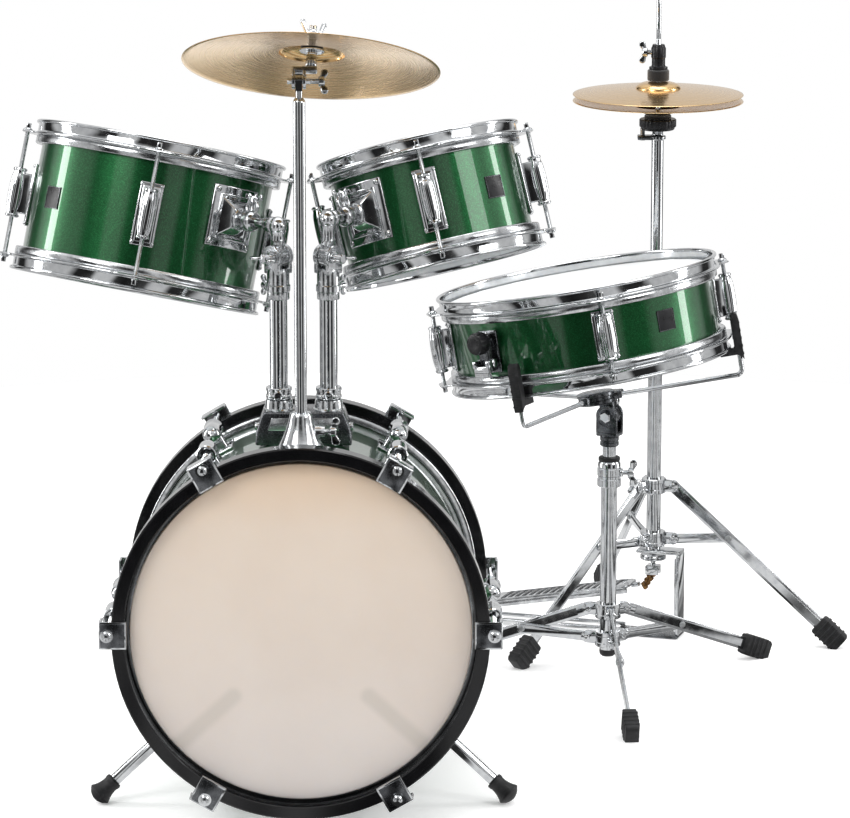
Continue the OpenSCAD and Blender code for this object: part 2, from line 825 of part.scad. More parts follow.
module snare_strainer() {
    r = snare_d / 2;
    half = asin(14 / r);
    color("dimgray") on_snare() rotate([0, 0, strainer_turn]) difference() {
        union() {
            translate([0, 0, -26]) rotate_extrude(angle = 2 * half, start = -half, $fn = 128)
                translate([r + seat_fit, 0]) square([3, 48]);
            translate([r + 2, -8, -24]) cube([lever_off + 2, 16, 34]);
            translate([r + 3, 0, 10]) rotate([0, 90, 0]) cylinder(r = 5, h = 12);
            translate([r + 12, 0, 10]) rotate([0, 90, 0]) cylinder(r = 13, h = 13);
        }
        translate([r + lever_off, 0, lever_z]) rotate([-90, 0, 0])
            cylinder(r = lever_pin_r + run_fit, h = 40, center = true);
    }
    color("silver") on_snare() rotate([0, 0, strainer_turn + 180]) {
        translate([0, 0, -24]) rotate_extrude(angle = 2 * half, start = -half, $fn = 128)
            translate([r + seat_fit, 0]) square([4, 30]);
    }
}

module snare_lever() {
    r = snare_d / 2;
    color("silver") on_snare() rotate([0, 0, strainer_turn]) translate([r + lever_off, 0, lever_z]) {
        rotate([-90, 0, 0]) cylinder(r = lever_pin_r, h = 26, center = true);
        for (s = [-1, 1]) translate([0, s * 10.5, 0]) {
            rotate([-90, 0, 0]) cylinder(r = 5, h = 4, center = true);
            translate([0, -2, -4]) cube([12, 4, 8]);
        }
        translate([7, -12.5, -16]) cube([4, 25, 14]);
    }
}

// Arm of the basket: out under the drum, up into a rubber hook at the lower rim
module basket_arm() {
    r = snare_d / 2;
    rim_low = snare_mid - snare_h / 2 - rim_up;
    out = r + flange_reach + 6;
    translate([8, 0, basket_z]) rotate([0, 90, 0]) cylinder(r = basket_rod_r, h = out - 8, $fn = 32);
    translate([out, 0, basket_z]) sphere(r = basket_rod_r);
    translate([out, 0, basket_z]) cylinder(r = basket_rod_r, h = rim_low - basket_z - 9, $fn = 32);
}

module basket_tip() {
    r = snare_d / 2;
    rim_low = snare_mid - snare_h / 2 - rim_up;
    out = r + flange_reach + 6;
    difference() {
        union() {
            translate([r - 4, -6, rim_low - 8.5]) cube([out - r + 4, 12, 8]);
            translate([out, 0, rim_low - 16]) cylinder(r = 5.5, h = 52);
            translate([out, 0, rim_low + 36]) sphere(r = 5.5);
            translate([out - 5.5, -7, rim_low - 4]) cube([9, 14, 38]);
        }
        translate([out, 0, 0]) cylinder(r = basket_rod_r + seat_fit, h = rim_low - 8.9, $fn = 32);
        translate([0, 0, rim_low - 0.4]) cylinder(r = r + flange_reach + 0.4, h = 80, $fn = 128);
    }
}

module snare_basket() {
    color("silver") on_basket() {
        difference() {
            union() {
                rotate([0, 90, 0]) cylinder(r = 12, h = 13, center = true);
                translate([-6.5, -9, 0]) cube([13, 18, basket_z]);
                translate([snare_off[0] / 2, snare_off[1] / 2, basket_z - 4]) rotate([0, 0, 160])
                    cube([50, 30, 8], center = true);
                translate([snare_off[0], snare_off[1], basket_z - 7]) cylinder(r = 22, h = 14);
            }
            rotate([0, 90, 0]) cylinder(r = 4 + run_fit, h = 30, center = true);
            translate([snare_off[0], snare_off[1], basket_z]) for (a = basket_arms) rotate([0, 0, a])
                translate([7, 0, 0]) rotate([0, 90, 0])
                cylinder(r = basket_rod_r + seat_fit, h = 60, $fn = 32);
        }
        translate([snare_off[0], snare_off[1], 0]) for (a = basket_arms) rotate([0, 0, a]) {
            basket_arm();
            basket_tip();
        }
    }
}

// ---------------------------------------------------------------- tripods

// Slope of a leg below horizontal
function leg_slope(upper_z, foot_r) = atan2(upper_z - foot_z, foot_r - pivot_r);
function leg_length(upper_z, foot_r) = norm([foot_r - pivot_r, upper_z - foot_z]);
function brace_offset() = strap_t / 2 + 0.4 + brace_t / 2;

module at_foot_turn(x, y, turn) {
    translate([x, y, 0]) rotate([0, 0, turn]) children();
}

// Strap leg from the upper pivot to a rubber foot, along +X
module strap_leg(upper_z, foot_r, rivet) {
    slope = leg_slope(upper_z, foot_r);
    l = leg_length(upper_z, foot_r);
    difference() {
        translate([pivot_r, 0, upper_z]) rotate([0, slope, 0]) union() {
            translate([0, -strap_t / 2, -strap_w / 2]) cube([l, strap_t, strap_w]);
            rotate([90, 0, 0]) cylinder(r = strap_w / 2, h = strap_t, center = true);
            translate([rivet * l, strap_t / 2, 0]) rotate([90, 0, 0]) cylinder(r = 4, h = strap_t + 1.6);
        }
        translate([pivot_r, 0, upper_z]) rotate([90, 0, 0])
            cylinder(r = pin_r + run_fit, h = 20, center = true);
        translate([foot_r - 40, -10, -40]) cube([80, 20, 43]);
    }
    rubber_foot(upper_z, foot_r, slope, l);
}

module rubber_foot(upper_z, foot_r, slope, l) {
    intersection() {
        translate([pivot_r, 0, upper_z]) rotate([0, slope, 0]) difference() {
            union() {
                translate([l - 30, -8, -12]) cube([38, 16, 24]);
                for (k = [0:2]) translate([l - 22 + 9 * k, -9, -13]) cube([4, 18, 26]);
            }
            translate([l - 60, -strap_t / 2 - seat_fit, -strap_w / 2 - seat_fit])
                cube([60 + seat_fit, strap_t + 2 * seat_fit, strap_w + 2 * seat_fit]);
        }
        translate([0, -40, 0]) cube([foot_r + 60, 80, upper_z]);
    }
}

// Brace from the lower pivot to the rivet of its leg, beside the leg
module strap_brace(upper_z, lower_z, foot_r, rivet) {
    slope = leg_slope(upper_z, foot_r);
    l = leg_length(upper_z, foot_r);
    end = [pivot_r + rivet * l * cos(slope), upper_z - rivet * l * sin(slope)];
    rise = atan2(end[1] - lower_z, end[0] - pivot_r);
    span = norm([end[0] - pivot_r, end[1] - lower_z]);
    translate([pivot_r, brace_offset(), lower_z]) rotate([0, -rise, 0]) difference() {
        union() {
            translate([0, -brace_t / 2, -6]) cube([span, brace_t, 12]);
            rotate([90, 0, 0]) cylinder(r = 6, h = brace_t, center = true);
            translate([span, 0, 0]) rotate([90, 0, 0]) cylinder(r = 6, h = brace_t, center = true);
            translate([span, brace_t / 2 + 1.6, 0]) rotate([90, 0, 0]) cylinder(r = 4, h = 2);
        }
        rotate([90, 0, 0]) cylinder(r = pin_r + run_fit, h = 20, center = true);
    }
}

// Collar with three forks whose slots are as wide as a strap, about z = 0
module fork_collar(bore_r, slot_mid, slot_t) {
    inner = slot_t / 2 + fork_fit;
    difference() {
        union() {
            translate([0, 0, -collar_h / 2]) cylinder(r = collar_r, h = collar_h);
            children();
            for (k = [0:2]) rotate([0, 0, 120 * k]) translate([0, slot_mid, 0]) {
                translate([8, -inner - 2.2, -7]) cube([pivot_r - 8, 2 * inner + 4.4, 14]);
                translate([pivot_r, 0, 0]) rotate([90, 0, 0]) cylinder(r = 7, h = 2 * inner + 4.4, center = true);
                translate([pivot_r, 0, 0]) rotate([90, 0, 0])
                    cylinder(r = 4, h = 2 * inner + 7.4, center = true);
            }
        }
        for (k = [0:2]) rotate([0, 0, 120 * k]) translate([0, slot_mid, 0]) difference() {
            translate([collar_r + 0.5, -inner, -10]) cube([30, 2 * inner, 20]);
            translate([pivot_r, 0, 0]) rotate([90, 0, 0]) cylinder(r = pin_r, h = 20, center = true);
        }
        translate([0, 0, -collar_h]) cylinder(r = bore_r, h = 2 * collar_h);
    }
}

// ---------------------------------------------------------------- snare stand

module snare_base_tube() {
    r = snare_tube_d / 2;
    color("silver") translate([snare_x, snare_y, 0]) {
        difference() {
            translate([0, 0, snare_lower_z - 16]) cylinder(r = r, h = snare_hinge_z - 40 - snare_lower_z);
            translate([0, 0, snare_lower_z - 6]) cylinder(r = snare_upper_r + run_fit, h = 400);
        }
        rotate([0, 0, snare_leg_turn]) translate([0, 0, snare_lower_z])
            fork_collar(r + seat_fit, brace_offset(), brace_t);
        translate([0, 0, snare_hinge_z - 84]) tube(r + 4.5, r + seat_fit, 30);
        translate([0, 0, snare_hinge_z - 53.9]) tube(r + 3, snare_upper_r + run_fit, 5);
        translate([r + 4.5 + seat_fit, 0, snare_hinge_z - 68]) rotate([0, 90, 0]) wing_screw(10);
    }
}

module snare_collar() {
    color("silver") translate([snare_x, snare_y, snare_upper_z]) rotate([0, 0, snare_leg_turn])
        fork_collar(snare_tube_d / 2 + run_fit, 0, strap_t)
        rotate([0, 0, 60]) rotate([0, 90, 0]) wing_screw(24);
}

module snare_leg(k) {
    color("silver") at_foot_turn(snare_x, snare_y, snare_leg_turn + 120 * (k - 1))
        strap_leg(snare_upper_z, snare_foot_r, snare_rivet);
}

module snare_brace(k) {
    color("silver") at_foot_turn(snare_x, snare_y, snare_leg_turn + 120 * (k - 1))
        strap_brace(snare_upper_z, snare_lower_z, snare_foot_r, snare_rivet);
}

module snare_upper_tube() {
    top = snare_hinge_z - 24;
    low = snare_hinge_z - 160;
    color("silver") translate([snare_x, snare_y, low]) tube(snare_upper_r, snare_upper_r - 1.5, top - low);
}

// Fork at the top of the upper tube that carries the basket
module snare_tilter() {
    color("dimgray") translate([snare_x, snare_y, snare_hinge_z]) rotate([0, 0, snare_bearing]) difference() {
        union() {
            for (s = [-1, 1]) translate([s * (6.5 + fork_fit + 1.75), 0, 0]) {
                rotate([0, 90, 0]) cylinder(r = 13, h = 3.5, center = true);
                translate([-1.75, -13, -20]) cube([3.5, 26, 20]);
            }
            translate([-10.35, -13, -24]) cube([20.7, 26, 6]);
            translate([0, 0, -36]) cylinder(r = snare_upper_r + 3, h = 16);
            rotate([0, 90, 0]) cylinder(r = 4, h = 30, center = true);
            rotate([0, -90, 0]) translate([0, 0, 10]) cylinder(r = 7, h = 5);
            rotate([0, 90, 0]) translate([0, 0, 9]) wing_screw(8, 3, 14);
        }
        translate([0, 0, -40]) cylinder(r = snare_upper_r + seat_fit, h = 16 + seat_fit);
    }
}

// ---------------------------------------------------------------- hi-hat

// Pedal frame: +X from the stand's tube towards the heel
module on_pedal() {
    translate([hihat_x, hihat_y, 0]) rotate([0, 0, pedal_turn]) children();
}

module hihat_frame() {
    r = hihat_tube_d / 2;
    heel_x = toe_r + footboard_l;
    cage_top = hihat_lower_z - collar_h / 2 - 8;
    color("silver") {
        translate([hihat_x, hihat_y, 0]) {
            difference() {
                translate([0, 0, cage_top - 3]) cylinder(r = r, h = hihat_tube_top - cage_top + 3);
                translate([0, 0, 0]) cylinder(r = hihat_rod_r + 1, h = 500);
                translate([0, 0, cage_top + 60]) cylinder(r = hihat_upper_d / 2 + run_fit, h = 500);
            }
            rotate([0, 0, hihat_leg_turn]) translate([0, 0, hihat_lower_z])
                fork_collar(r + seat_fit, brace_offset(), brace_t);
            translate([0, 0, hihat_tube_top - 24]) tube(r + 5, r + seat_fit, 26);
            translate([0, r + 5 + seat_fit, hihat_tube_top - 12]) rotate([-90, 0, 0]) wing_screw(9);
            translate([0, 0, cage_top - 9]) tube(16, hihat_rod_r + 2, 5.9);
        }
        on_pedal() {
            difference() {
                translate([-36, -14, cage_top]) cube([54, 28, plate_t]);
                translate([0, 0, cage_top - 5]) cylinder(r = r + seat_fit, h = 20);
            }
            translate([-36, -14, plate_t + seat_fit]) cube([4, 28, cage_top - plate_t - 2 * seat_fit]);
            translate([-36, -18, 0]) cube([80, 36, plate_t]);
            translate([heel_x - 10, -38, 0]) cube([34, 76, plate_t]);
            for (s = [-1, 1]) translate([38, s * 14, plate_t + seat_fit + radius_rod_r]) rotate([0, 90, 0])
                cylinder(r = radius_rod_r, h = heel_x - 36, $fn = 32);
            for (s = [-1, 1]) translate([heel_x, s * 33, 0]) {
                translate([-7, -2, plate_t + seat_fit]) cube([14, 4, heel_z - plate_t]);
                translate([0, 0, heel_z]) rotate([90, 0, 0]) cylinder(r = 7, h = 4, center = true);
                translate([0, -2 * s, heel_z]) rotate([90, 0, 0]) cylinder(r = 3, h = 15, center = true);
            }
        }
    }
}

module hihat_collar() {
    color("silver") translate([hihat_x, hihat_y, hihat_upper_z]) rotate([0, 0, hihat_leg_turn])
        fork_collar(hihat_tube_d / 2 + run_fit, 0, strap_t)
        rotate([0, 0, 180]) rotate([0, 90, 0]) wing_screw(24);
}

module hihat_leg(k) {
    color("silver") at_foot_turn(hihat_x, hihat_y, hihat_leg_turn + 120 * (k - 1))
        strap_leg(hihat_upper_z, hihat_foot_r, hihat_rivet);
}

module hihat_brace(k) {
    color("silver") at_foot_turn(hihat_x, hihat_y, hihat_leg_turn + 120 * (k - 1))
        strap_brace(hihat_upper_z, hihat_lower_z, hihat_foot_r, hihat_rivet);
}

module hihat_upper_tube() {
    low = hihat_tube_top - 160;
    top = hihat_rim_z - 46;
    color("silver") translate([hihat_x, hihat_y, 0]) {
        translate([0, 0, low]) tube(hihat_upper_d / 2, hihat_rod_r + 1.5, top - low);
        translate([0, 0, top + seat_fit]) difference() {
            union() {
                cylinder(r = 10, h = 5);
                translate([-24, -8, 0]) cube([24, 16, 5]);
            }
            translate([0, 0, -1]) cylinder(r = hihat_rod_r + 1.5, h = 20);
            translate([-18, 0, -1]) cylinder(r = 3 + seat_fit, h = 8);
        }
    }
}

// Cup that carries the lower cymbal, hinged on its fork by a tilt screw
module hihat_seat() {
    base = hihat_rim_z - 34;
    color("dimgray") translate([hihat_x, hihat_y, 0]) difference() {
        union() {
            translate([0, 0, base]) cylinder(r = 20, h = 4);
            translate([0, 0, base + 3]) cylinder(r = 22, h = 10);
            translate([0, 0, base + 12]) cylinder(r = 16, h = 6);
            translate([-18, 0, base - 12]) cylinder(r = 3, h = 13);
            translate([0, 0, base - 6.5]) cylinder(r = 7, h = 7);
        }
        translate([0, 0, base - 20]) cylinder(r = hihat_rod_r + 2.5, h = 60);
    }
}

module hihat_cymbal_bottom() {
    color("gold") translate([hihat_x, hihat_y, hihat_rim_z]) mirror([0, 0, 1])
        cymbal(hihat_d / 2, 8, 27, 8, 7);
}

module hihat_cymbal_top() {
    color("gold") translate([hihat_x, hihat_y, hihat_rim_z + hihat_gap + cymbal_t])
        cymbal(hihat_d / 2, 8, 27, 8, 7);
}

// Pull rod with the clutch and felts at the top and the clevis and chain at the bottom
module hihat_rod() {
    bell = hihat_rim_z + hihat_gap + cymbal_t + 16.2;
    low = 84;
    color("dimgray") {
        translate([hihat_x, hihat_y, 0]) {
            translate([0, 0, low]) cylinder(r = hihat_rod_r, h = bell + 50 - low);
            translate([0, 0, bell + 49]) cylinder(r = hihat_tip_r, h = hihat_tip_l + 1);
            translate([0, 0, bell + 0.3]) tube(13, hihat_rod_r + seat_fit, 13);
            translate([0, 0, bell + 13.5]) tube(8, hihat_rod_r + seat_fit, 30);
            translate([0, 0, bell - 26]) tube(6, hihat_rod_r + seat_fit, 25);
            translate([-8.2, 0, bell + 34]) rotate([0, -90, 0]) wing_screw(8);
        }
        on_pedal() {
            difference() {
                translate([-8, -8, low - 8]) cube([16, 16, 11]);
                translate([-3.5, -20, low - 20]) cube([7, 40, 16]);
                translate([0, 0, low - 4]) cylinder(r = hihat_rod_r + seat_fit, h = 20);
            }
            for (k = [0:3]) translate([3.4 * k, 0, low - 7 - 5.4 * k]) rotate([0, 28, 0])
                rotate([90, 0, 0]) cylinder(r = 3, h = k % 2 == 0 ? 4 : 8, center = true, $fn = 32);
        }
    }
}

module hihat_footboard() {
    slope = atan2(toe_z - heel_z, footboard_l);
    l = norm([footboard_l, toe_z - heel_z]);
    color("gray") on_pedal() translate([toe_r + footboard_l, 0, heel_z]) rotate([0, slope, 0])
        difference() {
            union() {
                translate([-l, -22, 3]) cube([l - 60, 44, 3]);
                translate([-62, -30, 3]) cube([66, 60, 3]);
                for (s = [-1, 1]) translate([-l, s * 20 - 1.5, -3]) cube([l - 60, 3, 7]);
                for (s = [-1, 1]) translate([-6, s * 28 - 2, -5]) cube([12, 4, 9]);
                for (s = [-1, 1]) translate([0, s * 28, 0]) rotate([90, 0, 0])
                    cylinder(r = 6, h = 4, center = true);
                translate([-l - 8, -5, 0]) cube([10, 10, 5]);
            }
            rotate([90, 0, 0]) cylinder(r = 3 + run_fit, h = 80, center = true);
        }
}

in_kit() bass_shell();
in_kit() bass_hoops();
in_kit() bass_heads();
in_kit() bass_lugs();
in_kit() bass_claws();
in_kit() shell_castings();
in_kit() tom_mount();
in_kit() spur_left();
in_kit() spur_right();
in_kit() post_left();
in_kit() post_right();
in_kit() tilter_left();
in_kit() tilter_right();
in_kit() arm_left();
in_kit() arm_right();
in_kit() tom_left_shell();
in_kit() tom_left_hoops();
in_kit() tom_left_heads();
in_kit() tom_left_lugs();
in_kit() tom_left_bracket();
in_kit() tom_right_shell();
in_kit() tom_right_hoops();
in_kit() tom_right_heads();
in_kit() tom_right_lugs();
in_kit() tom_right_bracket();
in_kit() crash_pole();
in_kit() crash_tilter();
in_kit() crash_cymbal();
in_kit() snare_shell();
in_kit() snare_hoops();
in_kit() snare_heads();
in_kit() snare_lugs();
in_kit() snare_wires();
in_kit() snare_strainer();
in_kit() snare_lever();
in_kit() snare_base_tube();
in_kit() snare_collar();
in_kit() snare_leg(1);  // snare_leg_1
in_kit() snare_leg(2);  // snare_leg_2
in_kit() snare_leg(3);  // snare_leg_3
in_kit() snare_brace(1);  // snare_brace_1
in_kit() snare_brace(2);  // snare_brace_2
in_kit() snare_brace(3);  // snare_brace_3
in_kit() snare_upper_tube();
in_kit() snare_tilter();
in_kit() snare_basket();
in_kit() hihat_frame();
in_kit() hihat_collar();
in_kit() hihat_leg(1);  // hihat_leg_1
in_kit() hihat_leg(2);  // hihat_leg_2
in_kit() hihat_leg(3);  // hihat_leg_3
in_kit() hihat_brace(1);  // hihat_brace_1
in_kit() hihat_brace(2);  // hihat_brace_2
in_kit() hihat_brace(3);  // hihat_brace_3
in_kit() hihat_upper_tube();
in_kit() hihat_seat();
in_kit() hihat_cymbal_bottom();
in_kit() hihat_cymbal_top();
in_kit() hihat_rod();
in_kit() hihat_footboard();
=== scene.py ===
"""Looks of a compact five-piece drum kit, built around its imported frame.

Every piece is shaped in millimetres in the frame of the thing it belongs to, such as a drum or a leg,
and is put in its place in metres at the end, so that its object stays at the origin.
"""

import json
from math import asin, atan2, cos, degrees, pi, radians, sin

import bmesh
import bpy
from bpy.props import FloatProperty, FloatVectorProperty, IntProperty, PointerProperty
from mathutils import Matrix, Vector


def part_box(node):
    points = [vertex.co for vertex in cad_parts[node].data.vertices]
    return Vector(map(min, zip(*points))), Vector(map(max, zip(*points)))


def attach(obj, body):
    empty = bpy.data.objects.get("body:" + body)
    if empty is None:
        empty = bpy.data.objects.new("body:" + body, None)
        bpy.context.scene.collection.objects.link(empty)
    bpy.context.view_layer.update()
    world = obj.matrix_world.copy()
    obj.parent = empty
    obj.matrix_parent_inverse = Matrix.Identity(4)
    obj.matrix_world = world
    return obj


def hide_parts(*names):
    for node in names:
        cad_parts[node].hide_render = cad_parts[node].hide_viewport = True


bl_info = {
    "name": "Compact Drum Kit",
    "version": (1, 0, 0),
    "blender": (4, 5, 0),
    "location": "View3D > Sidebar > Drum Kit",
    "description": "Builds the visible pieces of a compact drum kit around its frame",
    "category": "Add Mesh",
}

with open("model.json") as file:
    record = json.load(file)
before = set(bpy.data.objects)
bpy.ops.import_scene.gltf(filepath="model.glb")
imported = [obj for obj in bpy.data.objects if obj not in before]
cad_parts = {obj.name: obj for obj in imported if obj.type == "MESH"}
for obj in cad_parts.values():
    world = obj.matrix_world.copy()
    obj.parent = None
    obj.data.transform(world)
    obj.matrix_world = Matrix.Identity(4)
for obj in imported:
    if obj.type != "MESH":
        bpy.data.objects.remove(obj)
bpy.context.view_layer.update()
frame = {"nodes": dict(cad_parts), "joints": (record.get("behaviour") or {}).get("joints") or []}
MM = Matrix.Scale(0.001, 4)


# ---------------------------------------------------------------- places

def turn(axis, angle):
    """A turn about X, Y or Z by an angle in degrees."""
    return Matrix.Rotation(radians(angle), 4, axis)


def move(x=0.0, y=0.0, z=0.0):
    return Matrix.Translation((x, y, z))


def joint(name):
    """The place in metres and the axis of a joint of the frame."""
    found = next(j for j in frame["joints"] if j["name"] == name)
    return Vector(found.get("pos_m", (0, 0, 0))), Vector(found["axis"])


def bearing(axis):
    """Angle of a level axis about Z, in degrees."""
    return degrees(atan2(axis.y, axis.x))


def middle(node):
    low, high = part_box(node)
    return (low + high) / 2


def bass_frame(sizes):
    """+Z along the drum towards the audience, +Y up, from the middle of the bass shell."""
    return Matrix.Translation(middle("bass_shell")) @ turn("X", 90 - sizes.bass_lean) @ MM


def ratchet_frame(side):
    """+X towards the tom and +Y along the ratchet's axis, from the middle of the ratchet."""
    point, axis = joint(f"tom_{side}_ratchet")
    return Matrix.Translation(point) @ turn("Z", bearing(axis) - 90) @ MM


def tom_arm_frame(side, lean):
    """+X along the arm into the tom, tilted as the tom is, from the ball of the arm."""
    point, axis = joint(f"tom_{side}_tilt")
    return Matrix.Translation(point) @ turn("Z", bearing(axis)) @ turn("X", lean) @ MM


def crash_frame():
    """+X along the hinge of the crash tilter and +Z up from it, from the hinge."""
    point, across = joint("crash_tilt")
    _, rod = joint("crash_spin")
    up = (rod - across * rod.dot(across)).normalized()
    turned = Matrix((across, up.cross(across), up)).transposed().to_4x4()
    return Matrix.Translation(point) @ turned @ MM


def crash_rod_frame():
    """+Z up the rod of the crash cymbal, which leaves the tilter beside its hinge."""
    _, across = joint("crash_tilt")
    _, rod = joint("crash_spin")
    roll = degrees(asin(rod.dot(across)))
    return crash_frame() @ move(CRASH_SIDE, 0, CRASH_ROD_Z) @ turn("Y", roll) @ move(0, 0, -CRASH_ROD_Z)


def basket_frame(sizes):
    """+X along the hinge of the basket and +Z up the snare drum, from the hinge."""
    point, axis = joint("snare_tilt")
    return Matrix.Translation(point) @ turn("Z", bearing(axis)) @ turn("X", -sizes.snare_lean) @ MM


def leg_frame(stand, number):
    """+X outwards over the leg and +Z up, from the floor under the middle of a stand."""
    _, axis = joint(f"{stand}_leg_{number}_fold")
    return stand_frame(stand) @ turn("Z", bearing(axis) - 90)


def stand_frame(stand):
    tube = {"snare": "snare_upper_tube", "hihat": "hihat_upper_tube"}[stand]
    centre = middle(tube) if stand == "snare" else middle("hihat_cymbal_top")
    return Matrix.Translation((centre.x, centre.y, 0)) @ MM


def pedal_frame():
    """+X from the tube of the hi-hat stand to the heel of the pedal, from the floor."""
    _, axis = joint("hihat_pedal")
    return stand_frame("hihat") @ turn("Z", bearing(axis) + 90)


# ---------------------------------------------------------------- shapes in millimetres

def arc(cx, cy, r, start, end, steps=6):
    """Points of an arc, with angles in degrees."""
    angles = [start + (end - start) * k / steps for k in range(steps + 1)]
    return [(cx + r * cos(radians(a)), cy + r * sin(radians(a))) for a in angles]


def lathe(outline, steps=48, closed=False):
    """Turns an outline of (radius, height) points about Z."""
    bm = bmesh.new()
    verts = [bm.verts.new((r, 0, z)) for r, z in outline]
    edges = [bm.edges.new(pair) for pair in zip(verts, verts[1:])]
    if closed:
        edges.append(bm.edges.new((verts[-1], verts[0])))
    bmesh.ops.spin(bm, geom=verts + edges, cent=(0, 0, 0), axis=(0, 0, 1), dvec=(0, 0, 0),
                   angle=2 * pi, steps=steps, use_merge=True, use_duplicate=False)
    bmesh.ops.remove_doubles(bm, verts=bm.verts, dist=0.0005)
    bmesh.ops.recalc_face_normals(bm, faces=bm.faces)
    return bm


def soften(bm, width, segments=2, angle=30):
    """Bevels every edge sharper than the angle."""
    if width > 0:
        bm.normal_update()
        sharp = [e for e in bm.edges if e.is_manifold and e.calc_face_angle() > radians(angle)]
        bmesh.ops.bevel(bm, geom=sharp, offset=width, offset_type="OFFSET", affect="EDGES",
                        segments=segments, profile=0.5, material=-1, clamp_overlap=True)
    return bm


def block(x, y, z, width=0.6, segments=2):
    """Box about the origin with softened edges."""
    bm = bmesh.new()
    bmesh.ops.create_cube(bm, size=1)
    bmesh.ops.scale(bm, vec=(x, y, z), verts=bm.verts)
    return soften(bm, width, segments)


def bar(r, length, width=0.4, steps=32):
    """Round bar up +Z from the origin with softened ends."""
    w = min(width, r * 0.45, length * 0.45)
    outline = [(0, 0), (r - w, 0), (r - 0.3 * w, 0.3 * w), (r, w),
               (r, length - w), (r - 0.3 * w, length - 0.3 * w), (r - w, length), (0, length)]
    return lathe(outline, steps)


def sleeve(r, bore, length, width=0.4, steps=32):
    """Tube up +Z from the origin with softened mouths."""
    w = min(width, (r - bore) * 0.45)
    outline = [(bore + w, 0), (r - w, 0), (r, w), (r, length - w), (r - w, length),
               (bore + w, length), (bore, length - w), (bore, w)]
    return lathe(outline, steps, closed=True)


def ball(r, steps=24):
    bm = bmesh.new()
    bmesh.ops.create_uvsphere(bm, u_segments=steps, v_segments=steps // 2, radius=r)
    return bm


def slab(outline, depth, width=0.5, segments=2):
    """Flat outline of (x, y) points given a depth up +Z, with softened edges."""
    bm = bmesh.new()
    face = bm.faces.new([bm.verts.new((x, y, 0)) for x, y in outline])
    grown = bmesh.ops.extrude_face_region(bm, geom=[face])["geom"]
    bmesh.ops.translate(bm, vec=(0, 0, depth), verts=[v for v in grown if isinstance(v, bmesh.types.BMVert)])
    bmesh.ops.recalc_face_normals(bm, faces=bm.faces)
    return soften(bm, width, segments)


def thread(r, length, pitch=1.2, steps=12):
    """Threaded rod up +Z, as a row of ridges one pitch apart."""
    ridges = max(2, int(length / pitch))
    outline = [(0, 0)]
    for k in range(ridges):
        z = length * k / ridges
        outline += [(r * 0.86, z), (r, z + 0.5 * length / ridges)]
    return lathe(outline + [(r * 0.86, length), (0, length)], steps)


def bent_bar(points, r, bend=8, steps=16):
    """Round bar through the points, rounded off where it turns."""
    bm = bmesh.new()
    path = [Vector(p) for p in points]
    line = (path[1] - path[0]).normalized()
    spin = Vector((0, 0, 1)).rotation_difference(line).to_matrix().to_4x4()
    made = bmesh.ops.create_circle(bm, cap_ends=True, segments=steps, radius=r,
                                   matrix=Matrix.Translation(path[0]) @ spin)
    ring = sorted({e for v in made["verts"] for e in v.link_edges}, key=lambda e: e.index)

    def grow(shift):
        nonlocal ring
        out = bmesh.ops.extrude_edge_only(bm, edges=ring)["geom"]
        bmesh.ops.translate(bm, vec=shift, verts=[v for v in out if isinstance(v, bmesh.types.BMVert)])
        ring = [e for e in out if isinstance(e, bmesh.types.BMEdge)]

    here = path[0]
    for k in range(1, len(path)):
        last = k == len(path) - 1
        ahead = None if last else (path[k + 1] - path[k]).normalized()
        cut = 0 if last else bend
        stop = path[k] - line * cut
        grow(stop - here)
        here = stop
        if not last:
            axis = line.cross(ahead).normalized()
            angle = line.angle(ahead)
            radius = cut / max(1e-6, (sin(angle / 2) / cos(angle / 2)))
            centre = here + axis.cross(line) * radius
            out = bmesh.ops.spin(bm, geom=ring, cent=centre, axis=axis, dvec=(0, 0, 0), angle=angle,
                                 steps=6, use_merge=False, use_duplicate=False)["geom_last"]
            ring = [e for e in out if isinstance(e, bmesh.types.BMEdge)]
            here = path[k] + ahead * cut
            line = ahead
    bmesh.ops.contextual_create(bm, geom=ring)
    bmesh.ops.remove_doubles(bm, verts=bm.verts, dist=0.001)
    bmesh.ops.recalc_face_normals(bm, faces=bm.faces)
    return bm


def wrapped(bm, r, rows=10):
    """Bends a shape that stands on the plane x = 0 round a drum of radius r."""
    for k in range(1, rows):
        low = min(v.co.y for v in bm.verts)
        high = max(v.co.y for v in bm.verts)
        at = low + (high - low) * k / rows
        everything = list(bm.verts) + list(bm.edges) + list(bm.faces)
        bmesh.ops.bisect_plane(bm, geom=everything, plane_co=(0, at, 0), plane_no=(0, 1, 0))
    for v in bm.verts:
        angle = v.co.y / r
        v.co.x, v.co.y = (r + v.co.x) * cos(angle), (r + v.co.x) * sin(angle)
    return bm


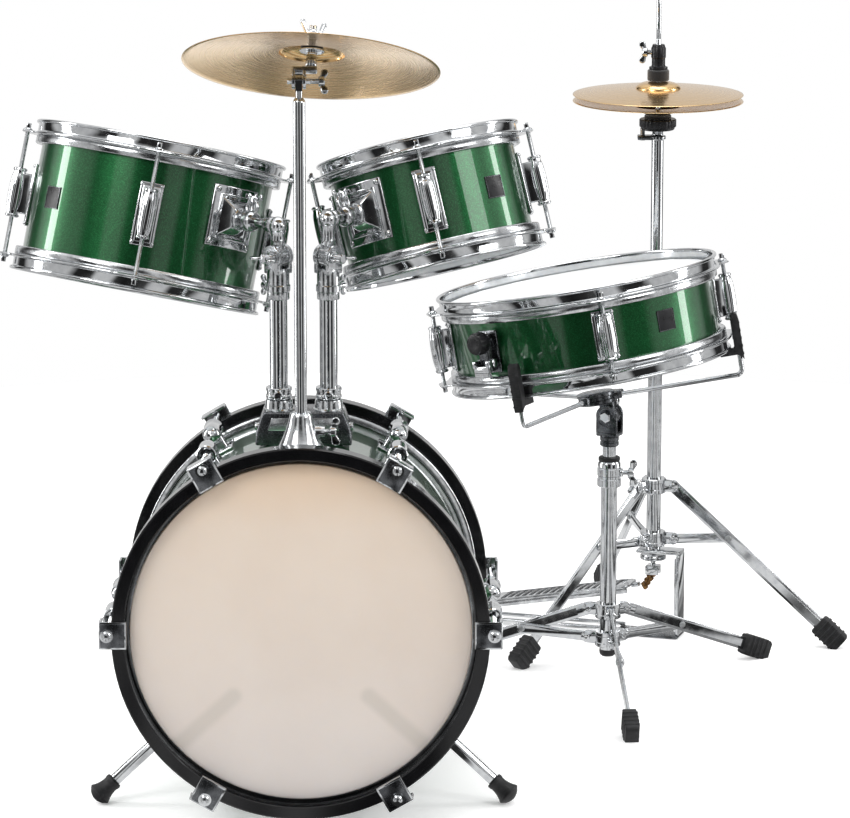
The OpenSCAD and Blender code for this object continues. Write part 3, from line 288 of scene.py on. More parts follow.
class Piece:
    """Gathers shapes in one frame and becomes one object with its place in its mesh."""

    def __init__(self, name, place, body, finishes, replaces=(), slot=None):
        self.name = name
        self.place = place
        self.body = body
        self.finishes = finishes
        self.replaces = replaces
        self.slot = slot
        self.bm = bmesh.new()

    def put(self, shape, *moves, finish=0):
        """Adds a shape after the moves, the last of which acts first."""
        at = Matrix.Identity(4)
        for step in moves:
            at = at @ step
        shape.transform(at)
        if at.determinant() < 0:
            bmesh.ops.reverse_faces(shape, faces=shape.faces)
        for face in shape.faces:
            face.material_index = finish
        carrier = bpy.data.meshes.new("carrier")
        shape.to_mesh(carrier)
        shape.free()
        self.bm.from_mesh(carrier)
        bpy.data.meshes.remove(carrier)

    def done(self, sharp=34):
        """Makes the object, seats it on its body and hides what it replaces."""
        self.bm.transform(self.place)
        self.bm.normal_update()
        for face in self.bm.faces:
            face.smooth = True
        for edge in self.bm.edges:
            edge.smooth = not edge.is_manifold or edge.calc_face_angle() < radians(sharp)
        mesh = bpy.data.meshes.new(self.name)
        self.bm.to_mesh(mesh)
        self.bm.free()
        for finish in self.finishes:
            mesh.materials.append(finish)
        made = bpy.data.objects.new(self.name, mesh)
        bpy.context.scene.collection.objects.link(made)
        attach(made, self.body)
        if self.replaces:
            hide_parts(*self.replaces)
        return made


# ---------------------------------------------------------------- finishes

def colour(code):
    """An sRGB hex colour as linear values."""
    parts = [int(code[k:k + 2], 16) / 255 for k in (0, 2, 4)]
    return tuple(c / 12.92 if c <= 0.04045 else ((c + 0.055) / 1.055) ** 2.4 for c in parts) + (1.0,)


def add(tree, kind, inputs=None, **settings):
    """Adds a node with its settings, and sets or links its inputs."""
    made = tree.nodes.new(kind)
    for key, value in settings.items():
        setattr(made, key, value)
    for key, value in (inputs or {}).items():
        if isinstance(value, bpy.types.NodeSocket):
            tree.links.new(value, made.inputs[key])
        else:
            made.inputs[key].default_value = value
    return made


def finish_tree(name, inputs):
    """An empty material with its shader, and the object coordinates that its patterns read."""
    made = bpy.data.materials.new(name)
    made.use_nodes = True
    tree = made.node_tree
    tree.nodes.clear()
    shader = add(tree, "ShaderNodeBsdfPrincipled", inputs)
    add(tree, "ShaderNodeOutputMaterial", {"Surface": shader.outputs["BSDF"]})
    coords = add(tree, "ShaderNodeTexCoord").outputs["Object"]
    return made, tree, shader, coords


def shades(tree, value, stops):
    """A ramp from a value to the colours at the stops."""
    ramp = add(tree, "ShaderNodeValToRGB", {"Fac": value})
    band = ramp.color_ramp
    while len(band.elements) < len(stops):
        band.elements.new(0.5)
    for element, (place, shade) in zip(band.elements, stops):
        element.position = place
        element.color = shade
    return ramp.outputs["Color"]


def grey(level):
    return (level, level, level, 1.0)


def noise(tree, coords, size_mm, detail=2.0, rough=0.5):
    """Noise whose lumps are about size_mm across."""
    return add(tree, "ShaderNodeTexNoise", {"Vector": coords, "Scale": 1000 / size_mm, "Detail": detail,
                                            "Roughness": rough}).outputs["Fac"]


def blended(tree, factor, first, second):
    """A colour mix, whose colour sockets stand at places 6 and 7."""
    return add(tree, "ShaderNodeMix", {0: factor, 6: first, 7: second}, data_type="RGBA").outputs[2]


def set_bump(tree, shader, height, depth_mm, strength=1.0, socket="Normal"):
    bump = add(tree, "ShaderNodeBump", {"Height": height, "Strength": strength, "Distance": depth_mm / 1000})
    tree.links.new(bump.outputs["Normal"], shader.inputs[socket])


def sparkle_lacquer(code):
    """Sparkle lacquer under clear coat: deep colour, a mirror-like gloss and fine metal flakes that glint."""
    made, tree, shader, coords = finish_tree("sparkle_lacquer", {
        "Metallic": 0.72, "Roughness": 0.3, "Coat Weight": 1.0, "Coat Roughness": 0.025, "Coat IOR": 1.5})
    # flakes of about 0.6 mm, drawn coarser than real ones so that they show
    flakes = add(tree, "ShaderNodeTexVoronoi", {"Vector": coords, "Scale": 1000 / 0.6})
    glint = shades(tree, flakes.outputs["Color"], [(0.55, grey(0.0)), (0.95, grey(1.0))])
    cloud = noise(tree, coords, 45)
    deep = shades(tree, cloud, [(0.35, tuple(c * 0.8 for c in code[:3]) + (1,)), (0.65, code)])
    bright = tuple(min(1, c * 2.3 + 0.012) for c in code[:3]) + (1.0,)
    tree.links.new(blended(tree, glint, deep, bright), shader.inputs["Base Color"])
    set_bump(tree, shader, flakes.outputs["Distance"], 0.05, 0.25)
    return made


def hoop_lacquer(code):
    """Black lacquer on bent maple: a hard gloss with a faint orange peel."""
    made, tree, shader, coords = finish_tree("black_hoop_lacquer", {
        "Roughness": 0.14, "Specular IOR Level": 0.3, "Coat Weight": 0.15, "Coat Roughness": 0.04})
    base = shades(tree, noise(tree, coords, 30, 4), [(0.3, code), (0.7, colour("0F0F11"))])
    tree.links.new(base, shader.inputs["Base Color"])
    set_bump(tree, shader, noise(tree, coords, 2.5), 0.02, 0.4, "Coat Normal")
    return made


def chrome_plate():
    """Bright chrome on pressed steel: a mirror with a little polish haze and faint waviness."""
    made, tree, shader, coords = finish_tree("chrome_plate", {"Metallic": 1.0})
    haze = noise(tree, coords, 9, 4)
    tree.links.new(shades(tree, haze, [(0.35, grey(0.045)), (0.7, grey(0.12))]), shader.inputs["Roughness"])
    tint = shades(tree, haze, [(0.3, colour("BFC1C4")), (0.7, colour("D3D5D6"))])
    tree.links.new(tint, shader.inputs["Base Color"])
    set_bump(tree, shader, noise(tree, coords, 14), 0.06, 0.25)
    return made


def die_casting(name, light, dark, rough):
    """Plated zinc die casting: softer than sheet chrome, with a faint skin and grime in its lows."""
    made, tree, shader, coords = finish_tree(name, {"Metallic": 1.0})
    skin = noise(tree, coords, 1.6, 3)
    patches = noise(tree, coords, 12, 3)
    tree.links.new(shades(tree, patches, [(0.3, colour(dark)), (0.62, colour(light))]),
                   shader.inputs["Base Color"])
    tree.links.new(shades(tree, skin, [(0.3, grey(rough)), (0.7, grey(rough + 0.12))]),
                   shader.inputs["Roughness"])
    set_bump(tree, shader, skin, 0.04, 0.5)
    return made


def painted_bar_shadow(tree, coords, start, end, half_mm):
    """How much painted shade a bar from start to end throws on a film that stands upright in front of it."""
    along = Vector((end.x - start.x, 0, end.z - start.z))
    level = add(tree, "ShaderNodeVectorMath", {0: coords, 1: (1, 0, 1)}, operation="MULTIPLY")
    out = add(tree, "ShaderNodeVectorMath", {0: level.outputs["Vector"], 1: (start.x, 0, start.z)},
              operation="SUBTRACT").outputs["Vector"]
    share = add(tree, "ShaderNodeVectorMath", {0: out, 1: along / along.length_squared},
                operation="DOT_PRODUCT")
    held = add(tree, "ShaderNodeClamp", {"Value": share.outputs["Value"]}).outputs["Result"]
    foot = add(tree, "ShaderNodeVectorMath", {0: along, "Scale": held}, operation="SCALE").outputs["Vector"]
    off = add(tree, "ShaderNodeVectorMath", {0: out, 1: foot}, operation="DISTANCE").outputs["Value"]
    fade = add(tree, "ShaderNodeMapRange", {
        "Value": off, "From Min": half_mm / 2000, "From Max": half_mm / 500, "To Min": 0.5, "To Max": 0.0},
        interpolation_type="SMOOTHSTEP")
    return fade.outputs["Result"]


def coated_film(name, light, dark, glow, bars=(), fades=None):
    """Coated polyester drumhead: white grit over film that lets light through, with painted shade where bars
    stand behind it.
    """
    made, tree, shader, coords = finish_tree(name, {
        "Roughness": 0.42, "Subsurface Weight": glow, "Subsurface Radius": (0.02, 0.014, 0.01),
        "Subsurface Scale": 0.3, "Specular IOR Level": 0.4})
    smudge = noise(tree, coords, 90, 4, 0.5)
    grit = noise(tree, coords, 0.9, 2)
    base = shades(tree, smudge, [(0.3, colour(dark)), (0.62, colour(light))])
    if fades:
        # the empty shell behind the film is lit from above, so the film is warmer towards its top
        low, high, tones = fades
        height = add(tree, "ShaderNodeSeparateXYZ", {"Vector": coords}).outputs["Z"]
        share = add(tree, "ShaderNodeMapRange", {"Value": height, "From Min": low, "From Max": high})
        tone = shades(tree, share.outputs["Result"], [(place, colour(value)) for place, value in tones])
        base = blended(tree, 0.75, base, tone)
    # painted shade: the film's colour is darkened where each bar stands behind it
    for start, end in bars:
        base = blended(tree, painted_bar_shadow(tree, coords, start, end, 6.4), base, colour("AFA69D"))
    tree.links.new(base, shader.inputs["Base Color"])
    set_bump(tree, shader, grit, 0.05, 0.5)
    return made


def lathed_bronze(name, place):
    """Lathed and lacquered cymbal brass: tone grooves that ring the bell, and soft hammer marks."""
    made, tree, shader, coords = finish_tree(name, {
        "Metallic": 1.0, "Coat Weight": 0.35, "Coat Roughness": 0.12})
    angles = place.to_euler()
    centred = add(tree, "ShaderNodeMapping", {"Vector": coords, "Location": place.translation,
                                              "Rotation": angles}, vector_type="TEXTURE").outputs["Vector"]
    flat = add(tree, "ShaderNodeVectorMath", {0: centred, 1: (1, 1, 0)}, operation="MULTIPLY")
    radius = add(tree, "ShaderNodeVectorMath", {0: flat.outputs["Vector"]}, operation="LENGTH")
    # grooves 1.1 mm apart, wider than real ones so that they show
    phase = add(tree, "ShaderNodeMath", {0: radius.outputs["Value"], 1: 2 * pi * 1000 / 1.1},
                operation="MULTIPLY")
    groove = add(tree, "ShaderNodeMath", {0: phase.outputs["Value"]}, operation="SINE")
    uneven = add(tree, "ShaderNodeTexNoise", {"W": radius.outputs["Value"], "Scale": 900.0, "Detail": 3.0},
                 noise_dimensions="1D").outputs["Fac"]
    rings = add(tree, "ShaderNodeMath", {0: groove.outputs["Value"], 1: 0.25, 2: uneven},
                operation="MULTIPLY_ADD").outputs["Value"]
    base = shades(tree, uneven, [(0.3, colour("C59C64")), (0.5, colour("E0B980")), (0.7, colour("F2D5A3"))])
    tree.links.new(base, shader.inputs["Base Color"])
    tree.links.new(shades(tree, uneven, [(0.3, grey(0.16)), (0.7, grey(0.3))]), shader.inputs["Roughness"])
    dents = noise(tree, centred, 16, 1)
    height = add(tree, "ShaderNodeMath", {0: rings, 1: 0.3, 2: dents}, operation="MULTIPLY_ADD")
    set_bump(tree, shader, height.outputs["Value"], 0.25, 0.35)
    return made


def moulded_rubber(name="black_rubber"):
    """Moulded black rubber: near black, dull, with a fine grain and paler scuffs."""
    made, tree, shader, coords = finish_tree(name, {"Specular IOR Level": 0.35})
    scuffs = noise(tree, coords, 6, 5, 0.7)
    base = shades(tree, scuffs, [(0.4, colour("131314")), (0.62, colour("232325")), (0.8, colour("3A3A3C"))])
    tree.links.new(base, shader.inputs["Base Color"])
    tree.links.new(shades(tree, scuffs, [(0.3, grey(0.42)), (0.8, grey(0.72))]), shader.inputs["Roughness"])
    set_bump(tree, shader, noise(tree, coords, 0.8, 2), 0.08, 0.5)
    return made


def wool_felt():
    """Pressed black felt: no gloss, a nap of short fibres."""
    made, tree, shader, coords = finish_tree("black_felt", {
        "Roughness": 0.95, "Sheen Weight": 0.6, "Sheen Roughness": 0.5, "Specular IOR Level": 0.1})
    fibre = noise(tree, coords, 0.7, 5, 0.7)
    base = shades(tree, fibre, [(0.35, colour("0D0D0E")), (0.7, colour("2C2C2E"))])
    tree.links.new(base, shader.inputs["Base Color"])
    set_bump(tree, shader, fibre, 0.3, 0.8)
    return made


def black_moulding():
    """Injection-moulded black ABS: a satin face with a faint spark-eroded texture."""
    made, tree, shader, coords = finish_tree("black_abs", {"Specular IOR Level": 0.25})
    cloud = noise(tree, coords, 10, 4)
    tree.links.new(shades(tree, cloud, [(0.3, colour("101012")), (0.7, colour("1D1D20"))]),
                   shader.inputs["Base Color"])
    tree.links.new(shades(tree, cloud, [(0.3, grey(0.24)), (0.7, grey(0.36))]), shader.inputs["Roughness"])
    set_bump(tree, shader, noise(tree, coords, 0.6), 0.02, 0.5)
    return made


def zinc_steel():
    """Zinc-plated pressed steel: dull grey metal with the mottle of its plating and rubbed patches."""
    made, tree, shader, coords = finish_tree("zinc_plated_steel", {"Metallic": 1.0})
    spangle = add(tree, "ShaderNodeTexVoronoi", {"Vector": coords, "Scale": 1000 / 7}).outputs["Color"]
    mottle = noise(tree, coords, 5, 4)
    both = blended(tree, 0.35, mottle, spangle)
    tree.links.new(shades(tree, both, [(0.3, colour("8E9092")), (0.7, colour("B9BBBC"))]),
                   shader.inputs["Base Color"])
    tree.links.new(shades(tree, mottle, [(0.3, grey(0.24)), (0.7, grey(0.42))]), shader.inputs["Roughness"])
    set_bump(tree, shader, mottle, 0.05, 0.4)
    return made


def chain_steel():
    """Oiled chain steel: brown, half polished, darker where the oil holds dust."""
    made, tree, shader, coords = finish_tree("oiled_chain_steel", {"Metallic": 0.9})
    oil = noise(tree, coords, 2.5, 4)
    tree.links.new(shades(tree, oil, [(0.35, colour("4A3320")), (0.65, colour("9A7448"))]),
                   shader.inputs["Base Color"])
    tree.links.new(shades(tree, oil, [(0.3, grey(0.25)), (0.7, grey(0.5))]), shader.inputs["Roughness"])
    return made


def studio_paper():
    """Seamless studio paper: matt and nearly white, with a faint tooth."""
    made, tree, shader, coords = finish_tree("studio_paper", {
        "Roughness": 0.85, "Specular IOR Level": 0.1, "Emission Color": grey(1.0), "Emission Strength": 0.3})
    tooth = noise(tree, coords, 260, 3)
    tree.links.new(shades(tree, tooth, [(0.3, colour("F1F1F1")), (0.7, colour("F6F6F6"))]),
                   shader.inputs["Base Color"])
    # painted reflection: to glossy rays alone the paper glows in white strips with dark gaps between them,
    # which bright metal reflects, while the paper itself stays plain
    split = add(tree, "ShaderNodeSeparateXYZ", {"Vector": coords})
    uneven = add(tree, "ShaderNodeTexNoise", {"W": split.outputs["X"], "Scale": 7.0, "Detail": 1.0},
                 noise_dimensions="1D").outputs["Fac"]
    strips = shades(tree, uneven, [(0.38, grey(0.03)), (0.44, grey(0.22)), (0.49, grey(0.65)),
                                   (0.53, grey(1.0))])
    glossy_strip_glow = add(tree, "ShaderNodeEmission", {"Color": strips, "Strength": 1.0})
    path = add(tree, "ShaderNodeLightPath")
    mixed = add(tree, "ShaderNodeMixShader", {0: path.outputs["Is Glossy Ray"], 1: shader.outputs[0],
                                              2: glossy_strip_glow.outputs[0]})
    output = next(node for node in tree.nodes if node.type == "OUTPUT_MATERIAL")
    tree.links.new(mixed.outputs[0], output.inputs["Surface"])
    return made


FINISH = {}


def spur_lines():
    """Inner and outer end of each spur."""
    lines = []
    for side in ("left", "right"):
        low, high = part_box(f"spur_{side}")
        inner, outer = (high.x, low.x) if side == "left" else (low.x, high.x)
        lines.append((Vector((inner, 0, high.z)), Vector((outer, 0, low.z))))
    return lines


def film_fade():
    """Height of the front drumhead's lowest and highest point, and its tones between them."""
    low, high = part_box("bass_heads")
    return low.z, high.z, ((0.05, "C7BFBC"), (0.5, "D0C0B4"), (0.8, "DAC5B3"), (0.98, "DDBB9C"))


def make_finishes(colours):
    FINISH.update(
        lacquer=sparkle_lacquer(tuple(colours.lacquer)),
        hoop=hoop_lacquer(tuple(colours.hoop)),
        chrome=chrome_plate(),
        casting=die_casting("bright_casting", "D6D8DA", "A9ABAD", 0.12),
        dark=die_casting("dark_casting", "6E7073", "3E4043", 0.18),
        white_film=coated_film("coated_white_film", "EEEFEE", "E2E3E4", 0.15),
        warm_film=coated_film("translucent_warm_film", "D6C6B9", "C7B4A5", 0.3, spur_lines(), film_fade()),
        rubber=moulded_rubber(),
        felt=wool_felt(),
        plastic=black_moulding(),
        zinc=zinc_steel(),
        chain=chain_steel(),
        paper=studio_paper(),
    )


# ---------------------------------------------------------------- fittings that repeat

def wing_screw(piece, length, *moves, r=3.0, span=13.0, finish=0):
    """Thumb screw up +Z: a threaded shank, a turned hub and two rounded wings."""
    piece.put(thread(r, length), *moves, finish=finish)
    hub = [(0, length - 1), (r + 1.6, length - 1), (r + 2.6, length), (r + 2.2, length + 4.5),
           (r + 1.2, length + 5.6), (0, length + 6)]
    piece.put(lathe(hub, 24), *moves, finish=finish)
    wing = [(r + 0.5, -2.6)] + arc(span * 0.72, 2.2, span * 0.3, -70, 130, 8) + [(r + 0.5, 2.6)]
    for side in (0, 180):
        piece.put(slab(wing, 3, 0.9, 3), *moves, turn("Z", side), move(0, 1.5, length + 3),
                  turn("X", 90), finish=finish)


def square_key(piece, *moves, r=3.6, finish=0):
    """Washer and square key head of a tension rod, up +Z."""
    piece.put(lathe([(0, 0), (5.2, 0), (5.4, 0.4), (5.2, 0.9), (0, 0.9)], 24), *moves, finish=finish)
    piece.put(lathe([(0, 0.9), (4.6, 0.9), (4.8, 1.5), (3.4, 2.6), (0, 2.8)], 24), *moves, finish=finish)
    side = r * 1.42
    piece.put(block(side, side, 6.2, 0.5, 2), *moves, move(0, 0, 4.9), finish=finish)


def dome_screw(piece, r, *moves, finish=0):
    """Domed screw head up +Z with a cross slot standing as two fine bars."""
    piece.put(lathe([(0, 0), (r, 0), (r, 0.5), (r * 0.8, 1.2), (r * 0.4, 1.6), (0, 1.7)], 20),
              *moves, finish=finish)
    for angle in (0, 90):
        piece.put(block(r * 1.1, 0.5, 0.3, 0.1, 1), *moves, turn("Z", angle), move(0, 0, 1.75),
                  finish=finish)


# ---------------------------------------------------------------- rims, heads and lugs

RIM_IN = 5.6
RIM_T = 1.8
RIM_UP = 12.0
RIM_DROP = 4.0
ROD_OFF = 18.0
EAR_TOP = -RIM_DROP + 2.3


def pressed_rim(r, lug_turn):
    """Triple-flanged rim over a shell edge at z = 0, its lower flange widening to an ear at each lug."""
    inner = r + RIM_IN
    outer = inner + RIM_T
    step = arc(outer + 2, 0.2, 2, 180, 265, 3) + [(r + 11.4, -1.7)]
    lip = arc(r + 11.6, -3.0, 1.2, 70, -90, 4) + arc(inner + 2, -RIM_DROP + 2, 2, 270, 180, 3)
    bead = arc(inner + 1.9, RIM_UP - 1.9, 1.9, 180, 90, 3) + arc(outer + 0.9, RIM_UP - 2.0, 2.0, 85, -100, 7)
    ring = [(outer, RIM_UP - 6)] + step + lip + [(inner, RIM_UP - 5)] + bead + [(outer, RIM_UP - 3.9)]
    bm = lathe(ring, 240, closed=True)
    for v in bm.verts:
        flat = (v.co.x ** 2 + v.co.y ** 2) ** 0.5
        if flat > r + 8.4 and v.co.z < 0.5:
            azimuth = degrees(atan2(v.co.y, v.co.x)) - lug_turn
            off = abs((azimuth + 45) % 90 - 45) * pi / 180 * r
            near = min(1.0, max(0.0, (24 - off) / 13))
            near = near * near * (3 - 2 * near)
            share = (flat - r - 8.4) / 4.4
            grown = flat + share * near * 11.5
            v.co.x, v.co.y = v.co.x * grown / flat, v.co.y * grown / flat
    return bm


def rims(node, place, body, r, height, lug_turn):
    piece = Piece(node + "_pressed", place, body, [FINISH["chrome"]], [node], "chrome")
    for end in (1, -1):
        piece.put(pressed_rim(r, lug_turn), Matrix.Diagonal((1, 1, end, 1)), move(0, 0, height / 2))
    piece.done(50)


def film_pair(node, place, body, r, reach, drop, height, finish):
    """Batter and resonant film, each crowned over the edge, with the crimped flesh hoop outside the shell."""
    piece = Piece(node + "_film", place, body, finish + [FINISH["casting"]], [node], "film")
    for end in (1, -1):
        skin = [(0, 1.0), (r * 0.5, 1.0), (r - 12, 1.0), (r - 6, 0.95), (r - 1, 0.8)] + \
            arc(r - 1, -0.9, 1.7, 90, 0, 4) + [
                (r + 0.7, -drop), (r + 0.7, -drop - 0.6), (r + 0.4, -drop - 0.6),
                                               (r + 0.4, -1.2), (r - 1, 0.3), (r - 12, 0.2), (0, 0.2)]
        piece.put(lathe(skin, 128), Matrix.Diagonal((1, 1, end, 1)), move(0, 0, height / 2),
                  finish=0 if end == 1 else len(finish) - 1)
        hoop = [(r + 0.6, -drop - 0.4), (r + reach - 1, -drop - 0.4), (r + reach, -drop - 1.4),
                (r + reach, -drop - 8.6), (r + reach - 1, -drop - 9.6), (r + 0.6, -drop - 9.6)]
        piece.put(lathe(hoop, 96, closed=True), Matrix.Diagonal((1, 1, end, 1)),
                  move(0, 0, height / 2), finish=len(finish))
    piece.done(50)


def tube_lug(piece, r, plate, *moves):
    """Lug casting on a shell of radius r along +X: a bevelled plate, four screws and a fluted barrel."""
    piece.put(wrapped(block(3.0, 25, plate, 1.0, 3), r + 1.6), *moves)
    piece.put(wrapped(block(1.4, 19, plate - 8, 0.6), r + 3.4), *moves)
    barrel = [(0, -27), (6.2, -27), (7.4, -26), (7.6, -24.6), (6.6, -23.6), (6.8, -21)] + \
        [(6.9 + 1.9 * cos(radians(a)), 20 * sin(radians(a))) for a in range(-75, 76, 15)] + \
        [(6.8, 21), (6.6, 23.6), (7.6, 24.6), (7.4, 26), (6.2, 27), (0, 27)]
    turned = lathe(barrel, 48)
    for v in turned.verts:
        if abs(v.co.z) < 22 and v.co.xy.length > 3:
            flute = 1 - 0.075 * max(0, cos(8 * atan2(v.co.y, v.co.x)))
            v.co.x, v.co.y = v.co.x * flute, v.co.y * flute
    piece.put(turned, *moves, move(r + ROD_OFF, 0, 0))
    piece.put(block(ROD_OFF - 3, 10, 44, 1.5, 3), *moves, move(r + 1.5 + ROD_OFF / 2, 0, 0))
    for y in (-1, 1):
        for z in (-1, 1):
            dome_screw(piece, 2.1, *moves, turn("Z", y * degrees(10.6 / r)),
                       move(r + 3.0, 0, z * (plate / 2 - 3)),
                       turn("Y", 90))


def lugs(node, place, body, r, height, lug_turn):
    piece = Piece(node + "_castings", place, body, [FINISH["chrome"]], [node], "chrome")
    for k in range(4):
        at = turn("Z", lug_turn + 90 * k)
        tube_lug(piece, r, min(68, height - 32), at)
        for end in (1, -1):
            flip = Matrix.Diagonal((1, 1, end, 1))
            top = height / 2 + EAR_TOP
            piece.put(thread(2.5, top - 24), at, flip, move(r + ROD_OFF, 0, 25))
            square_key(piece, at, flip, move(r + ROD_OFF, 0, top))
    piece.done()


def badge(name, place, body, r, azimuth, z=0.0, size=24.0):
    """Plain square badge: a dark plate in a thin raised frame, on the shell."""
    piece = Piece(name, place, body, [FINISH["plastic"], FINISH["dark"]], (), "hoop")
    piece.put(wrapped(block(0.9, size, size, 0.35), r), turn("Z", azimuth), move(0.35, 0, z))
    for side in (-1, 1):
        piece.put(wrapped(block(0.7, 0.8, size, 0.2, 1), r, 2),
                  turn("Z", azimuth + side * degrees((size / 2 - 0.7) / r)),
                  move(0.85, 0, z), finish=1)
        piece.put(wrapped(block(0.7, size - 2, 0.8, 0.2, 1), r), turn("Z", azimuth),
                  move(0.85, 0, z + side * (size / 2 - 0.7)), finish=1)
    piece.done()


# ---------------------------------------------------------------- sizes and colours

def length_property(name, description, value):
    """A length kept in metres and given here in millimetres."""
    return FloatProperty(name=name, description=description, default=value / 1000, unit="LENGTH")


class DrumSizes(bpy.types.PropertyGroup):
    """Sizes of the drums that the pieces are shaped to."""

    bass_diameter: length_property("Bass diameter", "Outside diameter of the bass shell", 355.6)
    bass_depth: length_property("Bass depth", "Depth of the bass shell", 305)
    bass_lean: FloatProperty(name="Bass lean", description="Backward lean of the bass drum, in degrees",
                             default=2.5)
    claw_count: IntProperty(name="Claws", description="Claws on each bass hoop", default=6, min=4)
    left_diameter: length_property("Left tom diameter", "Outside diameter of the left tom shell", 254)
    left_depth: length_property("Left tom depth", "Depth of the left tom shell", 140)
    left_lean: FloatProperty(name="Left tom lean", description="Lean of the left tom, in degrees", default=16)
    right_diameter: length_property("Right tom diameter", "Outside diameter of the right tom shell", 203.2)
    right_depth: length_property("Right tom depth", "Depth of the right tom shell", 115)
    right_lean: FloatProperty(name="Right tom lean", description="Lean of the right tom, in degrees",
                              default=-18.5)
    snare_diameter: length_property("Snare diameter", "Outside diameter of the snare shell", 304.8)
    snare_depth: length_property("Snare depth", "Depth of the snare shell", 88)
    snare_lean: FloatProperty(name="Snare lean", description="Lean of the snare drum, in degrees",
                              default=10.7)
    crash_diameter: length_property("Crash diameter", "Diameter of the crash cymbal", 266)
    hihat_diameter: length_property("Hi-hat diameter", "Diameter of the hi-hat cymbals", 203)


class KitColours(bpy.types.PropertyGroup):
    """Colours of the shells and hoops."""

    lacquer: FloatVectorProperty(name="Shell lacquer", description="Colour of the sparkle lacquer",
                                 subtype="COLOR", size=4, min=0, max=1, default=colour("054A22"))
    hoop: FloatVectorProperty(name="Hoop lacquer", description="Colour of the bass drum hoops",
                              subtype="COLOR", size=4, min=0, max=1, default=colour("070708"))


class StudioSettings(bpy.types.PropertyGroup):
    """Place of the camera, measured from the bottom of the front hoop, and the strength of the light."""

    camera_aside: length_property("Camera aside", "Distance of the camera to the right of the bass drum", 129)
    camera_back: length_property("Camera distance", "Distance of the camera from the front hoop", 4549)
    camera_height: length_property("Camera height", "Height of the camera above the floor", 1427)
    camera_dip: FloatProperty(name="Camera dip", description="Angle of the camera below level, in degrees",
                              default=12.1)
    focal_length: FloatProperty(name="Focal length", description="Focal length of the camera", default=192.07,
                                subtype="DISTANCE_CAMERA")
    softbox_power: FloatProperty(name="Softbox power", description="Power of the large softboxes in watts",
                                 default=38)
    sky_level: FloatProperty(name="Sky level", description="Strength of the even light all round",
                             default=0.75)


class KitOperator(bpy.types.Operator):
    bl_options = {"REGISTER"}

    def execute(self, context):
        self.build(context.scene.drum_sizes)
        return {"FINISHED"}


# ---------------------------------------------------------------- drums

BASS_REACH = 16.0
HOOP_IN = 5.7
HOOP_T = 13.5
HOOP_W = 25.0


def tom_frame(sizes, side):
    """From the middle of a tom: +Z up the tom and +X away from its arm."""
    lean = sizes.left_lean if side == "left" else sizes.right_lean
    r = (sizes.left_diameter if side == "left" else sizes.right_diameter) * 500
    gap, rise = {"left": (68, 14), "right": (53, 4)}[side]
    return tom_arm_frame(side, lean) @ move(r + gap, 0, -rise)


def snare_frame(sizes):
    return basket_frame(sizes) @ move(-16, 6, 112)


class KIT_OT_finishes(KitOperator):
    """Makes the finishes and gives them to the pieces whose shape stays as it is"""

    bl_idname = "kit.finishes"
    bl_label = "Finishes"

    def build(self, sizes):
        make_finishes(bpy.context.scene.kit_colours)
        kept = {"bass_shell": "lacquer", "tom_left_shell": "lacquer", "tom_right_shell": "lacquer",
                "snare_shell": "lacquer", "bass_hoops": "hoop", "crash_pole": "chrome",
                "snare_upper_tube": "chrome", "post_left": "chrome", "post_right": "chrome",
                "snare_wires": "chrome", "snare_collar": "chrome", "hihat_collar": "chrome",
                "snare_base_tube": "chrome", "hihat_frame": "chrome", "hihat_upper_tube": "chrome",
                "hihat_rod": "chrome", "snare_tilter": "dark", "snare_strainer": "dark"}
        for name, node in frame["nodes"].items():
            node.data.materials.clear()
            node.data.materials.append(FINISH[kept.get(name, "chrome")])


class KIT_OT_badges(KitOperator):
    """Puts a plain badge on each tom and on the snare drum"""

    bl_idname = "kit.badges"
    bl_label = "Badges"

    def build(self, sizes):
        for side, r, azimuth in (("left", sizes.left_diameter * 500, 81),
                                 ("right", sizes.right_diameter * 500, -91)):
            badge(f"tom_{side}_badge", tom_frame(sizes, side), f"tom_{side}", r, azimuth)
        badge("snare_badge", snare_frame(sizes), "snare", sizes.snare_diameter * 500, -118, 2)


class KIT_OT_drum_fittings(KitOperator):
    """Presses the rims, stretches the films and casts the lugs of the toms and the snare drum"""

    bl_idname = "kit.drum_fittings"
    bl_label = "Rims, films and lugs"

    def build(self, sizes):
        white = [FINISH["white_film"]]
        for side in ("left", "right"):
            d = sizes.left_diameter if side == "left" else sizes.right_diameter
            h = (sizes.left_depth if side == "left" else sizes.right_depth) * 1000
            self.fit(f"tom_{side}", tom_frame(sizes, side), f"tom_{side}", d * 500, h, 45, white)
        self.fit("snare", snare_frame(sizes), "snare", sizes.snare_diameter * 500, sizes.snare_depth * 1000,
                 33, white)

    def fit(self, prefix, place, body, r, h, lug_turn, film):
        rims(prefix + "_hoops", place, body, r, h, lug_turn)
        film_pair(prefix + "_heads", place, body, r, 7.6, 4, h, film)
        lugs(prefix + "_lugs", place, body, r, h, lug_turn)


